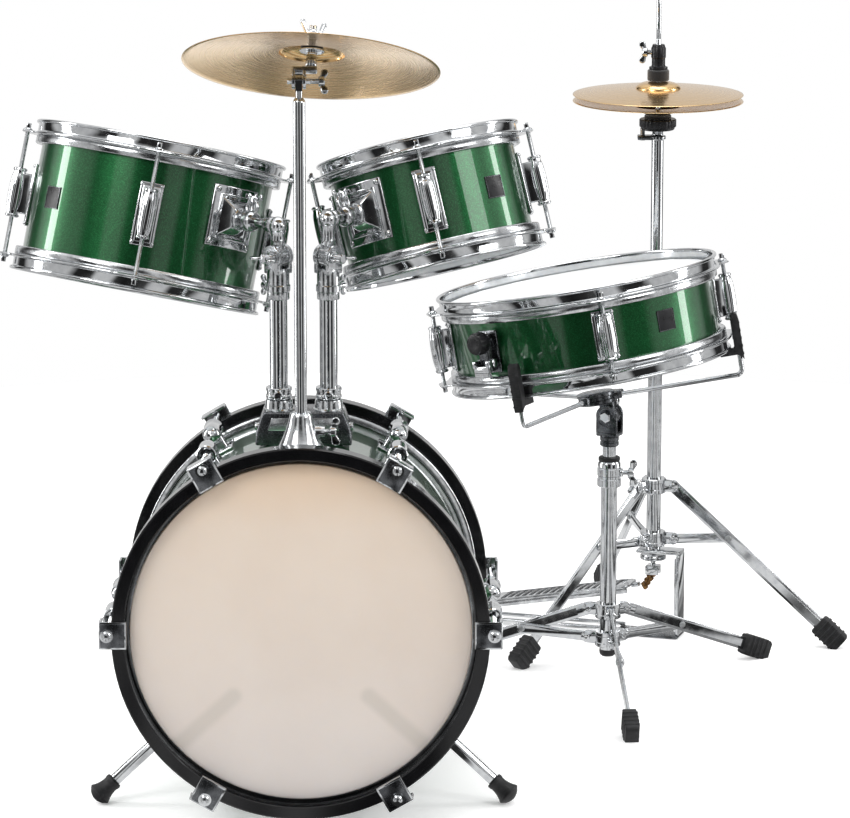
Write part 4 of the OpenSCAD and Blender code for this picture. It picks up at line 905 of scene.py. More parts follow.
class KIT_OT_bass_fittings(KitOperator):
    """Makes the bass drum's films, lugs, claws and key rods"""

    bl_idname = "kit.bass_fittings"
    bl_label = "Bass drum fittings"

    def build(self, sizes):
        place = bass_frame(sizes)
        r = sizes.bass_diameter * 500
        end = sizes.bass_depth * 500
        film_pair("bass_heads", place, "root", r, 8, HOOP_W - BASS_REACH, 2 * end,
                  [FINISH["warm_film"], FINISH["white_film"]])
        rod = r + HOOP_IN + HOOP_T + 4.2
        ring_z = end - 88
        casting = Piece("bass_lug_castings", place, "root", [FINISH["chrome"]], ["bass_lugs"], "chrome")
        claws = Piece("bass_claw_hooks", place, "root", [FINISH["chrome"], FINISH["dark"]], ["bass_claws"],
                      "chrome")
        for k in range(sizes.claw_count):
            for flip in (1, -1):
                at = turn("Z", 360 / sizes.claw_count * k) @ Matrix.Diagonal((1, 1, flip, 1))
                self.lug(casting, r, rod, ring_z, at)
                self.claw(claws, r, rod, end, at)
        casting.done()
        claws.done()

    def lug(self, piece, r, rod, z, at):
        """Open-mouthed lug: an oval foot on the shell, a waist and a cup that takes the rod."""
        piece.put(wrapped(block(3, 26, 48, 1.3, 3), r + 1.6), at, move(0, 0, z))
        neck = [(-17, -7), (-12, -9), (12, -7), (12, 7), (-12, 9), (-17, 7)]
        piece.put(slab([(y, x) for x, y in neck], rod - r, 2.2, 3), at, move(r, 0, z - 3), turn("Y", 90),
                  turn("Z", 90))
        cup = [(0, -31)] + arc(0, -20.5, 9.8, -85, 0, 6) + \
            [(9.9, -12), (9.2, 6), (9.4, 14), (10.4, 17), (10.6, 19), (9.8, 20), (8.4, 20), (7.2, 18.6),
             (6.6, 12), (6.4, 2), (0, 2)]
        piece.put(lathe(cup, 40), at, move(rod, 0, z))
        for end in (-1, 1):
            dome_screw(piece, 2.3, at, move(r + 3.1, 0, z + end * 20), turn("Y", 90))

    def claw(self, piece, r, rod, end, at):
        """Pressed claw hooked over the hoop, its dark face, and the key rod that pulls it."""
        face = end + BASS_REACH
        low, high = ((r + HOOP_IN) ** 2 - 15 ** 2) ** 0.5 - 2.1, rod + 8.4
        hook = [(low, face - 6), (low + 2, face - 6), (low + 2, face + 0.1), (high - 2.6, face + 0.1),
                (high - 2.6, face - 20), (high, face - 20), (high, face + 2), (high - 1, face + 2.9),
                (low, face + 2.9)]
        piece.put(slab(hook, 29, 0.8, 2), at, move(0, 14.5, 0), turn("X", 90))
        piece.put(block(high - low - 3.4, 25, 1.2, 0.4), at, move((low + high) / 2, 0, face + 3.1), finish=1)
        piece.put(thread(3, face - end + 88), at, move(rod, 0, end - 86))
        piece.put(lathe([(0, 0), (7, 0), (7.2, 0.6), (6.9, 1.4), (0, 1.5)], 28), at, move(rod, 0, face + 3.6))
        square_key(piece, at, move(rod, 0, face + 4.4), r=4.2)


class KIT_OT_spurs(KitOperator):
    """Makes the spurs with their rubber tips, and the castings on the bass shell"""

    bl_idname = "kit.spurs"
    bl_label = "Spurs and shell castings"

    def build(self, sizes):
        r = sizes.bass_diameter * 500
        castings = Piece("shell_fittings", bass_frame(sizes), "root", [FINISH["chrome"], FINISH["casting"]],
                         ["shell_castings"], "cast")
        for side in (-1, 1):
            name = "left" if side < 0 else "right"
            out = move(side * r * cos(radians(42)), -r * sin(radians(42)), 44) @ \
                turn("Z", -42 if side > 0 else 222) @ turn("Y", 81)
            self.spur(name, bass_frame(sizes) @ out)
            self.bracket(castings, out)
        self.cone(castings, bass_frame(sizes).inverted() @ self.cone_frame())
        castings.done()

    def cone_frame(self):
        """+Z up the crash pole from the top of the bass shell."""
        pole = middle("crash_pole")
        low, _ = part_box("crash_pole")
        return Matrix.Translation((pole.x, pole.y, low.z - 0.008)) @ MM

    def spur(self, name, place):
        low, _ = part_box(f"spur_{name}")
        length = self.length(place, low.z)
        piece = Piece(f"spur_{name}_tube", place, f"spur_{name}", [FINISH["chrome"], FINISH["rubber"]],
                      [f"spur_{name}"], "chrome")
        piece.put(bar(6.35, 78 + length - 24, 0.5, 40), move(0, 0, -78))
        tip = [(0, -26), (8.4, -26), (9.2, -25), (9.3, -22), (8.6, -20.5), (8.7, -17), (9.5, -12.5),
               (11, -8.2), (12.5, -5.4), (13, -4.3), (12.7, -3.2), (11.5, -2), (9, 0.5), (6, 2.2), (3, 3.2),
               (0, 3.6)]
        piece.put(lathe([(r, length + z) for r, z in tip], 40), finish=1)
        piece.done()

    def length(self, place, floor):
        """Length of spur outside the shell, from the height of its lowest point."""
        start = place.translation
        along = (place.to_3x3() @ Vector((0, 0, 1))).normalized()
        return (start.z - floor - 0.008) / -along.z * 1000

    def bracket(self, piece, out):
        piece.put(lathe([(6.5, -5), (21, -5), (21, 3), (20, 5.5), (17, 7.2), (13.4, 8.4), (12.6, 11),
                         (12.3, 21), (11.4, 23.6), (9.6, 24), (6.5, 24)], 48, closed=True), out, finish=1)
        piece.put(bar(5.5, 15, 1, 28), out, move(0, 0, 14), turn("X", -90), finish=1)
        wing_screw(piece, 4, out, move(0, 13, 14), turn("X", -90), r=3, span=14)
        for k in range(3):
            dome_screw(piece, 2.4, out, turn("Z", 120 * k + 30), move(16.5, 0, 6.9))

    def cone(self, piece, at):
        body = [(0, -2), (27, -2), (27.2, 4), (27, 7.4), (25.6, 9.6), (24, 11.8), (21.4, 17), (18.4, 24),
                (15.6, 31), (13.4, 38), (12, 44), (11.4, 47), (10.4, 48.4), (8, 49), (6.5, 49)]
        piece.put(lathe(body, 64), at, finish=1)
        piece.put(bar(6, 15, 1.2, 28), at, move(10, 0, 28), turn("Y", 90), finish=1)
        wing_screw(piece, 7, at, move(24, 0, 28), turn("Y", 90), r=3, span=15)
        for k in range(4):
            dome_screw(piece, 2.2, at, turn("Z", 90 * k + 45), move(24.6, 0, 9.6), turn("Y", 35))


# ---------------------------------------------------------------- tom mount, arms and crash cymbal

class KIT_OT_tom_mount(KitOperator):
    """Casts the block on the bass drum and the two posts that slide in it"""

    bl_idname = "kit.tom_mount"
    bl_label = "Tom mount"

    def build(self, sizes):
        low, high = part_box("tom_mount")
        centre = (low + high) / 2
        top = (high.z - 0.011) * 1000
        place = Matrix.Translation((centre.x, centre.y, 0)) @ MM
        half = (high.x - low.x) * 500
        piece = Piece("tom_mount_casting", place, "root", [FINISH["dark"], FINISH["casting"]], ["tom_mount"],
                      "dark_cast")
        floor = (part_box("bass_shell")[1].z - 0.010) * 1000
        side = [(-half, floor), (-half + 1, top - 22), (-half + 9, top), (half - 9, top),
                (half - 1, top - 22),
                (half, floor)]
        piece.put(slab(side, 46, 2.2, 3), move(0, 23, 0), turn("X", 90))
        frame_bar = [(-half + 13, top - 20), (-half + 17, top - 6), (half - 17, top - 6),
                     (half - 13, top - 20)]
        piece.put(slab(frame_bar, 48, 1.2, 2), move(0, 24, 0), turn("X", 90), finish=1)
        for x in (-1, 1):
            at = move(x * 26.5, 0, top)
            piece.put(lathe([(9.6, -4), (16.5, -4), (16.5, 0), (15.2, 1.4), (14.6, 8), (14, 10), (12, 11),
                             (9.6, 11)], 48, closed=True), at, finish=1)
            piece.put(bar(4.4, 5, 0.8, 24), move(x * (half - 4), 0, top - 20), turn("Y", 90 * x), finish=1)
            for y in (-1, 1):
                dome_screw(piece, 2.6, move(x * (half - 14), y * 17, top), finish=1)
        piece.done()
        for side_name in ("left", "right"):
            self.post(side_name)

    def post(self, side):
        low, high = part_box(f"post_{side}")
        x = joint(f"tom_{side}_ratchet")[0]
        place = Matrix.Translation((x.x, x.y, 0)) @ MM
        piece = Piece(f"post_{side}_tube", place, f"post_{side}", [FINISH["chrome"]], [f"post_{side}"],
                      "chrome")
        bottom, top = low.z * 1000, high.z * 1000
        piece.put(sleeve(9.5, 8, top - bottom, 0.5, 48), move(0, 0, bottom))
        lock = (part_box("tom_mount")[1].z * 1000) + 0.5
        collar = [(9.5, 0), (13.4, 0), (14, 0.8), (14, 3.4), (13.2, 4.2), (13.2, 7.8), (14, 8.6), (14, 11.2),
                  (13.4, 12), (9.5, 12)]
        piece.put(lathe(collar, 48, closed=True), move(0, 0, lock))
        piece.put(bar(4.6, 6, 0.8, 24), move(0, -12, lock + 6), turn("X", 90))
        wing_screw(piece, 6, move(0, -12, lock + 6), turn("X", 90), r=3, span=10)
        piece.done()


class KIT_OT_tom_arms(KitOperator):
    """Makes the ratchet tilters, the elbow arms and the brackets of the toms"""

    bl_idname = "kit.tom_arms"
    bl_label = "Tilters, arms and brackets"

    def build(self, sizes):
        for side in ("left", "right"):
            lean = sizes.left_lean if side == "left" else sizes.right_lean
            r = (sizes.left_diameter if side == "left" else sizes.right_diameter) * 500
            gap = 68 if side == "left" else 53
            rise = 33 if side == "left" else 40
            self.tilter(side)
            self.arm(side, gap, rise)
            self.bracket(side, tom_arm_frame(side, lean) @ move(r + gap, 0, 0) @ turn("Z", 180), r)

    def tilter(self, side):
        face = -1 if side == "left" else 1
        piece = Piece(f"tilter_{side}_casting", ratchet_frame(side), f"tilter_{side}",
                      [FINISH["casting"], FINISH["chrome"]], [f"tilter_{side}"], "cast")
        body = [(9.6, 0), (11.6, 0), (12, 0.8), (12, 8), (13, 9), (13, 15), (12, 16), (12, 30), (11, 33),
                (8, 34), (0, 34)]
        piece.put(lathe([(9.6, 26)] + body, 48), move(0, 0, -45.6))
        piece.put(block(22, 21.6, 6, 1.6, 3), move(0, 0, -15))
        piece.put(bar(4.6, 6, 0.8, 24), move(11, 0, -33), turn("Y", 90))
        wing_screw(piece, 5, move(12, 0, -33), turn("Y", 90), r=2.6, span=11, finish=1)
        rings = [(3, 0), (12.6, 0), (13, 0.5), (13, 4.6), (12.4, 5.4), (11.2, 5.4), (10.8, 4.7), (9.8, 4.7),
                 (9.4, 5.4), (8.2, 5.4), (7.8, 4.7), (6.8, 4.7), (6.4, 5.6), (5, 6), (3, 6)]
        for s in (-1, 1):
            out = turn("X", -90 * s) @ move(0, 0, 5.1)
            piece.put(lathe(rings, 48, closed=True), out)
            for k in range(24):
                piece.put(block(1.1, 2.6, 1.4, 0.3, 1), out, turn("Z", 15 * k), move(12.5, 0, 2.6))
            piece.put(slab([(-10, 0), (10, 0), (11, -12), (-11, -12)], 5.6, 1, 2), move(0, s * 8 + 2.8, -1.5),
                      turn("X", 90))
        piece.put(lathe([(0, 0), (7, 0), (7.4, 1), (7, 3), (5.4, 4.4), (0, 4.8)], 6), turn("X", -90 * face),
                  move(0, 0, 11))
        wing_screw(piece, 13, turn("X", 90 * face), move(0, 0, 5), r=3.2, span=17, finish=1)
        piece.done()

    def arm(self, side, gap, rise):
        piece = Piece(f"arm_{side}_elbow", ratchet_frame(side), f"arm_{side}", [FINISH["casting"],
                      FINISH["chrome"]], [f"arm_{side}"], "cast")
        piece.put(sleeve(11, 3.2, 9.4, 0.7, 48), turn("X", 90), move(0, 0, -4.7))
        for k in range(24):
            piece.put(block(1.1, 2.4, 8.4, 0.3, 1), turn("X", 90), turn("Z", 15 * k), move(10.9, 0, 0))
        piece.put(block(15, 9.2, 12, 1.6, 3), move(0, 0, 13.4))
        neck = [(0, 16), (7, 16), (8.2, 18), (7.4, 21), (7.6, rise - 9), (8.6, rise - 6), (0, rise - 2)]
        piece.put(lathe(neck, 40))
        piece.put(ball(9.7, 40), move(0, 0, rise))
        collar = [(0, 4), (8.2, 4), (8.6, 5), (8.6, 13), (7.8, 14.4), (7.8, 16.4), (7, 17), (0, 17)]
        piece.put(lathe(collar, 40), move(0, 0, rise), turn("Y", 90))
        piece.put(bar(5.25, gap - 9, 0.5, 32), move(0, 0, rise), turn("Y", 90), finish=1)
        dome_screw(piece, 3, move(-8.6, 0, rise), turn("Y", -90))
        piece.done()

    def bracket(self, side, place, r):
        """Square cast plate: a raised border, four screws, a pyramid and the clamp that holds the arm."""
        piece = Piece(f"tom_{side}_bracket_plate", place, f"tom_{side}",
                      [FINISH["chrome"], FINISH["casting"]],
                      [f"tom_{side}_bracket"], "chrome")
        piece.put(wrapped(block(3, 66, 66, 1.2, 3), r + 1.6, 14))
        for s in (-1, 1):
            piece.put(wrapped(block(1.6, 48, 2.6, 0.7), r + 3.6), move(0, 0, s * 23))
            piece.put(block(1.6, 2.6, 48, 0.7), turn("Z", s * degrees(23 / r)), move(r + 3.6, 0, 0))
            for z in (-1, 1):
                dome_screw(piece, 3.4, turn("Z", s * degrees(28 / r)), move(r + 3.2, 0, z * 28),
                           turn("Y", 90))
        pyramid = bmesh.new()
        bmesh.ops.create_cone(pyramid, cap_ends=True, segments=4, radius1=21 * 2 ** 0.5,
                              radius2=10 * 2 ** 0.5,
                              depth=11)
        piece.put(soften(pyramid, 1.6, 3), move(r + 6.5, 0, 0), turn("Y", 90), turn("Z", 45))
        clamp = [(5.5, 0), (12.4, 0), (12.4, 2), (11, 3), (10.6, 8), (11.2, 9.4), (11.2, 19), (10.4, 21),
                 (8.6, 23), (5.5, 23)]
        piece.put(lathe(clamp, 44, closed=True), move(r + 11, 0, 0), turn("Y", 90), finish=1)
        ring = lathe(arc(7.6, 0, 2.0, 0, 330, 11), 32, closed=True)
        piece.put(ring, move(r + 26, 0, 15), turn("X", 90), finish=1)
        wing_screw(piece, 13, move(r + 26, 0, 8), r=3, span=12)
        piece.done()


# place of the crash cymbal's rod beside and above its hinge, and of the cymbal's hole along the rod
CRASH_SIDE = 12.0
CRASH_ROD_Z = 12.0
CRASH_SEAT = 41.0


class KIT_OT_crash(KitOperator):
    """Makes the crash cymbal, its tilter, felts and wing nut"""

    bl_idname = "kit.crash"
    bl_label = "Crash cymbal"

    def build(self, sizes):
        place = crash_frame()
        piece = Piece("crash_tilter_casting", place, "crash_tilter",
                      [FINISH["casting"], FINISH["chrome"], FINISH["felt"]], ["crash_tilter"], "dark_cast")
        for s in (-1, 1):
            cheek = lathe([(0, 0), (7.6, 0), (8, 0.5), (8, 2.8), (7.4, 3.5), (5.6, 3.5), (5, 3), (3.6, 3),
                           (3, 3.8), (0, 4)], 36)
            piece.put(cheek, move(s * 3.85, 0, 0), turn("Y", 90 * s))
            piece.put(block(3.5, 12, 13, 1, 2), move(s * 5.6, 0, 6.5))
        piece.put(block(26, 12, 6, 1.4, 3), move(5.65, 0, 12))
        piece.put(bar(3, 24, 0.4, 24), move(-12, 0, 0), turn("Y", 90), finish=1)
        wing_screw(piece, 13, turn("Y", 90), move(0, 0, 8), r=3, span=13, finish=1)
        aside = crash_frame().inverted() @ crash_rod_frame()
        piece.put(bar(4, 10, 0.6, 28), aside, move(0, 0, 13), finish=1)
        piece.put(thread(4, CRASH_SEAT - 5, 1.3, 20), aside, move(0, 0, 23), finish=1)
        spacer = [(4.2, 15.6), (5.6, 15.6), (6, 16.2), (6, 20), (5.4, 20.6), (5.4, CRASH_SEAT - 13),
                  (6, CRASH_SEAT - 12.4),
                  (6, CRASH_SEAT - 10), (4.2, CRASH_SEAT - 10)]
        piece.put(lathe(spacer, 36, closed=True), aside, finish=1)
        piece.put(sleeve(12.8, 4.2, 1.9, 0.5, 44), aside, move(0, 0, CRASH_SEAT - 9.8), finish=1)
        for base, height, wide in ((CRASH_SEAT - 7.7, 6.4, 11.5), (CRASH_SEAT + 1.8, 3.8, 10)):
            felt = arc(wide - 1.4, base + 1.4, 1.4, -90, 0, 3) + \
                arc(wide - 1.4, base + height - 1.4, 1.4, 0, 90, 3)
            piece.put(lathe([(4.3, base)] + felt + [(4.3, base + height)], 40, closed=True), aside, finish=2)
        top = CRASH_SEAT + 5.8
        nut = [(4.2, top), (6.8, top), (7, top + 1), (6.2, top + 4), (6.2, top + 5.4), (5.2, top + 6.6),
               (4.2, top + 6.8)]
        piece.put(lathe(nut, 32, closed=True), aside, finish=1)
        ear = [(4.6, -2.6), (8.2, -1.4)] + arc(12.4, 11.4, 2.9, -40, 150, 8) + [(7.2, 4.6), (4.6, 3.4)]
        for side in (30, 210):
            piece.put(slab(ear, 3.2, 1.2, 3), aside, turn("Z", side), move(0, 1.6, top + 3), turn("X", 90),
                      finish=1)
        piece.done()
        self.cymbal(crash_rod_frame(), sizes.crash_diameter * 500)

    def cymbal(self, place, r):
        bell_r, bell_h, rise, hole = 34, 12.2, 15, 5.5
        lift = rise * (1 - (bell_r / r) ** 2)
        cymbal_piece("crash_cymbal_disc", place @ move(0, 0, CRASH_SEAT + 1.2 - lift - bell_h),
                     "crash_cymbal",
                     "crash_cymbal", r, rise, bell_r, bell_h, hole, "crash_bronze")


def cymbal_piece(name, place, body, node, r, rise, bell_r, bell_h, hole, finish_name):
    """Spun disc: a bow that steepens to the edge, a bell that meets it in a fillet, and a rolled lip."""
    thick = 1.2
    top = [(r - 0.3, 0.1)]
    for k in range(1, 27):
        x = r - (r - bell_r) * k / 26
        top.append((x, rise * (1 - (x / r) ** 2)))
    lift = top[-1][1]
    for k in range(1, 13):
        a = radians(7.5 * k)
        top.append((hole + (bell_r - hole) * cos(a), lift + bell_h * sin(a)))
    under = [(x, z - thick) for x, z in reversed(top[1:])]
    outline = top + under + [(r - 0.3, -0.6), (r, -0.25)]
    turned = place.to_3x3().normalized().to_4x4()
    bronze = lathed_bronze(finish_name, Matrix.Translation(place.translation) @ turned)
    piece = Piece(name, place, body, [bronze], [node], "brass")
    piece.put(lathe(outline, 144, closed=True))
    piece.done(60)


# ---------------------------------------------------------------- snare drum and its stand

class KIT_OT_snare_parts(KitOperator):
    """Makes the snare drum's strainer, lever and butt plate, and the basket with its rubber tips"""

    bl_idname = "kit.snare_parts"
    bl_label = "Snare fittings and basket"

    def build(self, sizes):
        r = sizes.snare_diameter * 500
        side = snare_frame(sizes) @ turn("Z", 160)
        self.strainer(side, r)
        self.lever(side, r)
        self.basket(basket_frame(sizes), r, sizes.snare_depth * 1000)

    def strainer(self, place, r):
        piece = Piece("snare_strainer_casting", place, "snare", [FINISH["dark"], FINISH["plastic"],
                      FINISH["chrome"]], ["snare_strainer"], "dark_cast")
        piece.put(wrapped(block(3, 28, 48, 1, 2), r + 1.6), move(0, 0, -2))
        piece.put(block(11, 16, 34, 2, 3), move(r + 7.5, 0, -6.5))
        grip = lathe([(0, 11), (11, 11), (12.4, 12), (12.8, 14), (12.8, 22), (11.6, 24.4), (9, 25), (4, 24.4),
                      (0, 24.4)], 72)
        for v in grip.verts:
            if v.co.xy.length > 10.5 and 12.5 < v.co.z < 23:
                shrink = 1 - 0.07 * max(0, cos(12 * atan2(v.co.y, v.co.x)))
                v.co.x, v.co.y = v.co.x * shrink, v.co.y * shrink
        piece.put(grip, move(r, 0, 10), turn("Y", 90), finish=1)
        piece.put(bar(5, 12, 0.6, 28), move(r + 3, 0, 10), turn("Y", 90), finish=2)
        dome_screw(piece, 2.4, move(r + 13, 0, -19), turn("Y", 90), finish=2)
        for z in (-22, 18):
            dome_screw(piece, 2.4, move(r + 3.1, 0, z), turn("Y", 90), finish=2)
        piece.put(wrapped(block(4, 28, 30, 1.2, 3), r + 2.1), turn("Z", 180), move(0, 0, -9), finish=2)
        for z in (-19, 1):
            for y in (-1, 1):
                dome_screw(piece, 2.2, turn("Z", 180 + y * degrees(9 / r)), move(r + 4.1, 0, z),
                           turn("Y", 90))
        piece.done()

    def lever(self, place, r):
        piece = Piece("snare_lever_bar", place @ move(r + 9, 0, -14), "snare_lever", [FINISH["chrome"]],
                      ["snare_lever"], "chrome")
        piece.put(bar(2, 26, 0.3, 20), move(0, 13, 0), turn("X", 90))
        for s in (-1, 1):
            piece.put(lathe([(0, 0), (4.8, 0), (5, 0.4), (5, 3.6), (4.4, 4), (2, 4.4), (0, 4.5)], 28),
                      move(0, s * 8.5, 0), turn("X", -90 * s))
            piece.put(block(12, 4, 8, 1, 2), move(6, s * 10.5, 0))
        piece.put(block(4, 25, 14, 1.4, 3), move(9, 0, -9))
        piece.done()

    def basket(self, place, r, height):
        low = 112 - height / 2 - 12
        out = r + 18
        chrome = Piece("snare_basket_arms", place, "snare", [FINISH["chrome"], FINISH["dark"]],
                       ["snare_basket"], "chrome")
        rubber = Piece("snare_basket_tips", place, "snare", [FINISH["rubber"]], (), "chrome")
        chrome.put(bar(12, 13, 1, 40), move(-6.5, 0, 0), turn("Y", 90), finish=1)
        chrome.put(block(13, 18, 22, 2, 3), move(0, 0, 13), finish=1)
        chrome.put(block(50, 28, 8, 2, 3), move(-8, 3, 24), turn("Z", 160), finish=1)
        hub = [(0, 17), (20, 17), (22, 18.4), (22, 21.6), (20.6, 22.6), (20.6, 25.4), (22, 26.4), (22, 29.6),
               (20, 31), (6, 31.4), (0, 31.4)]
        chrome.put(lathe(hub, 48), move(-16, 6, 0), finish=1)
        for a in (175, 293, 55):
            at = move(-16, 6, 0) @ turn("Z", a)
            chrome.put(bent_bar([(10, 0, 24), (out, 0, 24), (out, 0, low - 9)], 2.75, 7), at)
            chrome.put(block(16, 10, 9, 1.4, 2), at, move(22, 0, 24), finish=1)
            tip = [(r - 4, low - 8.4), (out - 2, low - 8.4), (out + 3, low - 12), (out + 5, low - 15),
                   (out + 5.4, low + 30), (out + 4, low + 38), (out, low + 41), (out - 4, low + 38),
                   (out - 4.6, low + 1), (out - 5.5, low - 0.6), (r - 4, low - 0.6)]
            rubber.put(slab(tip, 12, 2.2, 3), at, move(0, 6, 0), turn("X", 90))
            for k in range(5):
                rubber.put(block(1.4, 12.8, 2.2, 0.5, 1), at, move(out + 5, 0, low - 8 + 9 * k))
        chrome.done()
        rubber.done()


# ---------------------------------------------------------------- tripods

PIVOT_R = 24.0
STRAP = 15.0


def leg_line(stand):
    """Upper pivot height, foot radius, foot height and rivet share of a tripod's legs."""
    pivot, _ = joint(f"{stand}_leg_1_fold")
    return {"snare": (pivot.z * 1000, 230, 10, 0.41), "hihat": (pivot.z * 1000, 228, 10, 0.34)}[stand]


class KIT_OT_tripods(KitOperator):
    """Makes the strap legs with their rubber feet, the braces, rivets and fork collars of both stands"""

    bl_idname = "kit.tripods"
    bl_label = "Tripods"

    def build(self, sizes):
        for stand in ("snare", "hihat"):
            upper, foot_r, foot_z, rivet = leg_line(stand)
            slope = degrees(atan2(upper - foot_z, foot_r - PIVOT_R))
            length = Vector((foot_r - PIVOT_R, upper - foot_z)).length
            lower = joint(f"{stand}_brace_1_fold")[0].z * 1000
            for k in (1, 2, 3):
                self.leg(stand, k, upper, slope, length)
                self.foot(stand, k, upper, slope, length)
                self.brace(stand, k, upper, lower, slope, length * rivet)
            tube_r = 9.5 if stand == "snare" else 8.75
            place = leg_frame(stand, 1)
            piece = Piece(f"{stand}_collar_casting", place, f"{stand}_collar", [FINISH["chrome"]],
                          [f"{stand}_collar"], "chrome")
            self.forks(piece, upper, tube_r + 0.1, 0, 3)
            at = turn("Z", 60 if stand == "snare" else 180) @ move(0, 0, upper) @ turn("Y", 90)
            piece.put(bar(5.4, 8, 0.8, 28), at, move(0, 0, 14))
            wing_screw(piece, 10, at, move(0, 0, 14), r=3, span=13)
            piece.done()

    def leg(self, stand, k, upper, slope, length):
        place = leg_frame(stand, k) @ move(PIVOT_R, 0, upper) @ turn("Y", slope)
        rivet = leg_line(stand)[3]
        piece = Piece(f"{stand}_leg_{k}_strap", place, f"{stand}_leg_{k}", [FINISH["chrome"], FINISH["zinc"]],
                      [f"{stand}_leg_{k}"], "chrome")
        half = STRAP / 2
        side = arc(0, 0, half, 90, 270, 10) + [(length - 16, -half), (length - 16, half)]
        piece.put(slab(side, 3, 0.7, 3), move(0, 1.5, 0), turn("X", 90))
        for y in (-1, 1):
            piece.put(block(length - 44, 0.5, 9, 0.2, 1), move(length / 2 - 6, y * 1.55, 0))
        rivet_head(piece, 4.0, 2.0, move(rivet * length, -1.5, 0) @ turn("X", 90), 1)
        piece.done()

    def foot(self, stand, k, upper, slope, length):
        place = leg_frame(stand, k) @ move(PIVOT_R, 0, upper) @ turn("Y", slope)
        piece = Piece(f"{stand}_foot_{k}", place, f"{stand}_leg_{k}", [FINISH["rubber"]], (), "chrome")
        end = length + 8
        body = [(length - 30, -11), (length - 27, -12), (end - 3, -12), (end, -9), (end, 9), (end - 3, 12),
                (length - 27, 12), (length - 30, 11)]
        shape = slab(body, 16, 1.6, 3)
        piece.put(shape, move(0, 8, 0), turn("X", 90))
        for n in range(4):
            piece.put(block(3.4, 18, 25.4, 1.2, 3), move(length - 22 + 7 * n, 0, 0))
        down = turn("Y", -slope) @ move(-PIVOT_R, 0, -upper)
        cut = piece.bm
        normal = down.to_3x3() @ Vector((0, 0, 1))
        bmesh.ops.bisect_plane(cut, geom=list(cut.verts) + list(cut.edges) + list(cut.faces),
                               plane_co=down @ Vector((0, 0, 0.05)), plane_no=-normal, clear_outer=True)
        rim = [e for e in cut.edges if e.is_boundary]
        bmesh.ops.holes_fill(cut, edges=rim, sides=0)
        piece.done()

    def brace(self, stand, k, upper, lower, slope, reach):
        end = Vector((reach * cos(radians(slope)), upper - reach * sin(radians(slope)) - lower))
        rise = degrees(atan2(end.y, end.x))
        place = leg_frame(stand, k) @ move(PIVOT_R, 3.15, lower) @ turn("Y", -rise)
        piece = Piece(f"{stand}_brace_{k}_strap", place, f"{stand}_brace_{k}", [FINISH["chrome"],
                      FINISH["zinc"]], [f"{stand}_brace_{k}"], "chrome")
        side = arc(0, 0, 6, 90, 270, 8) + arc(end.length, 0, 6, -90, 90, 8)
        piece.put(slab(side, 2.5, 0.6, 3), move(0, 1.25, 0), turn("X", 90))
        rivet_head(piece, 4.0, 1.7, move(end.length, 1.25, 0) @ turn("X", -90), 1)
        piece.done()

    def forks(self, piece, height, bore, slot_mid, slot_t):
        """Collar with three forks about a height, as the legs or the braces need."""
        ring = [(bore, -9), (14, -9), (15, -8), (15, -4.5), (14.2, -3.6), (14.2, 3.6), (15, 4.5), (15, 8),
                (14, 9),
                (bore, 9)]
        piece.put(lathe(ring, 56, closed=True), move(0, 0, height))
        inner = slot_t / 2 + 0.4
        cheek = [(12, -7), (PIVOT_R, -7)] + arc(PIVOT_R, 0, 7, -80, 80, 8) + [(PIVOT_R, 7), (12, 7)]
        for n in range(3):
            for side in (-1, 1):
                at = turn("Z", 120 * n) @ move(0, slot_mid + side * inner, height)
                lift = 2.2 if side > 0 else 0
                piece.put(slab(cheek, 2.2, 0.6, 2), at, move(0, lift, 0), turn("X", 90))
                rivet_head(piece, 4.2, 1.6, at @ move(PIVOT_R, side * 2.2, 0) @ turn("X", -90 * side), 0)


def rivet_head(piece, r, height, at, finish):
    """Round rivet head up +Z, slightly domed, with a shallow dimple."""
    head = [(0, -0.3), (r, -0.3), (r, height * 0.35), (r * 0.86, height * 0.8), (r * 0.6, height),
            (r * 0.35, height * 0.9), (0, height * 0.85)]
    piece.put(lathe(head, 28), at, finish=finish)


def ringed_clamp(piece, r, bore, length, at):
    """Clamp ring up +Z with a rounded mouth and two shallow grooves."""
    outline = [(bore, 0), (r - 1.2, 0), (r, 1.2), (r, length * 0.3), (r - 0.8, length * 0.3 + 0.8),
               (r - 0.8, length * 0.42), (r, length * 0.42 + 0.8), (r, length * 0.72),
               (r - 0.8, length * 0.72 + 0.8), (r - 0.8, length - 2.4), (r - 2.2, length), (bore, length)]
    piece.put(lathe(outline, 48, closed=True), at)


# ---------------------------------------------------------------- tubes of the stands

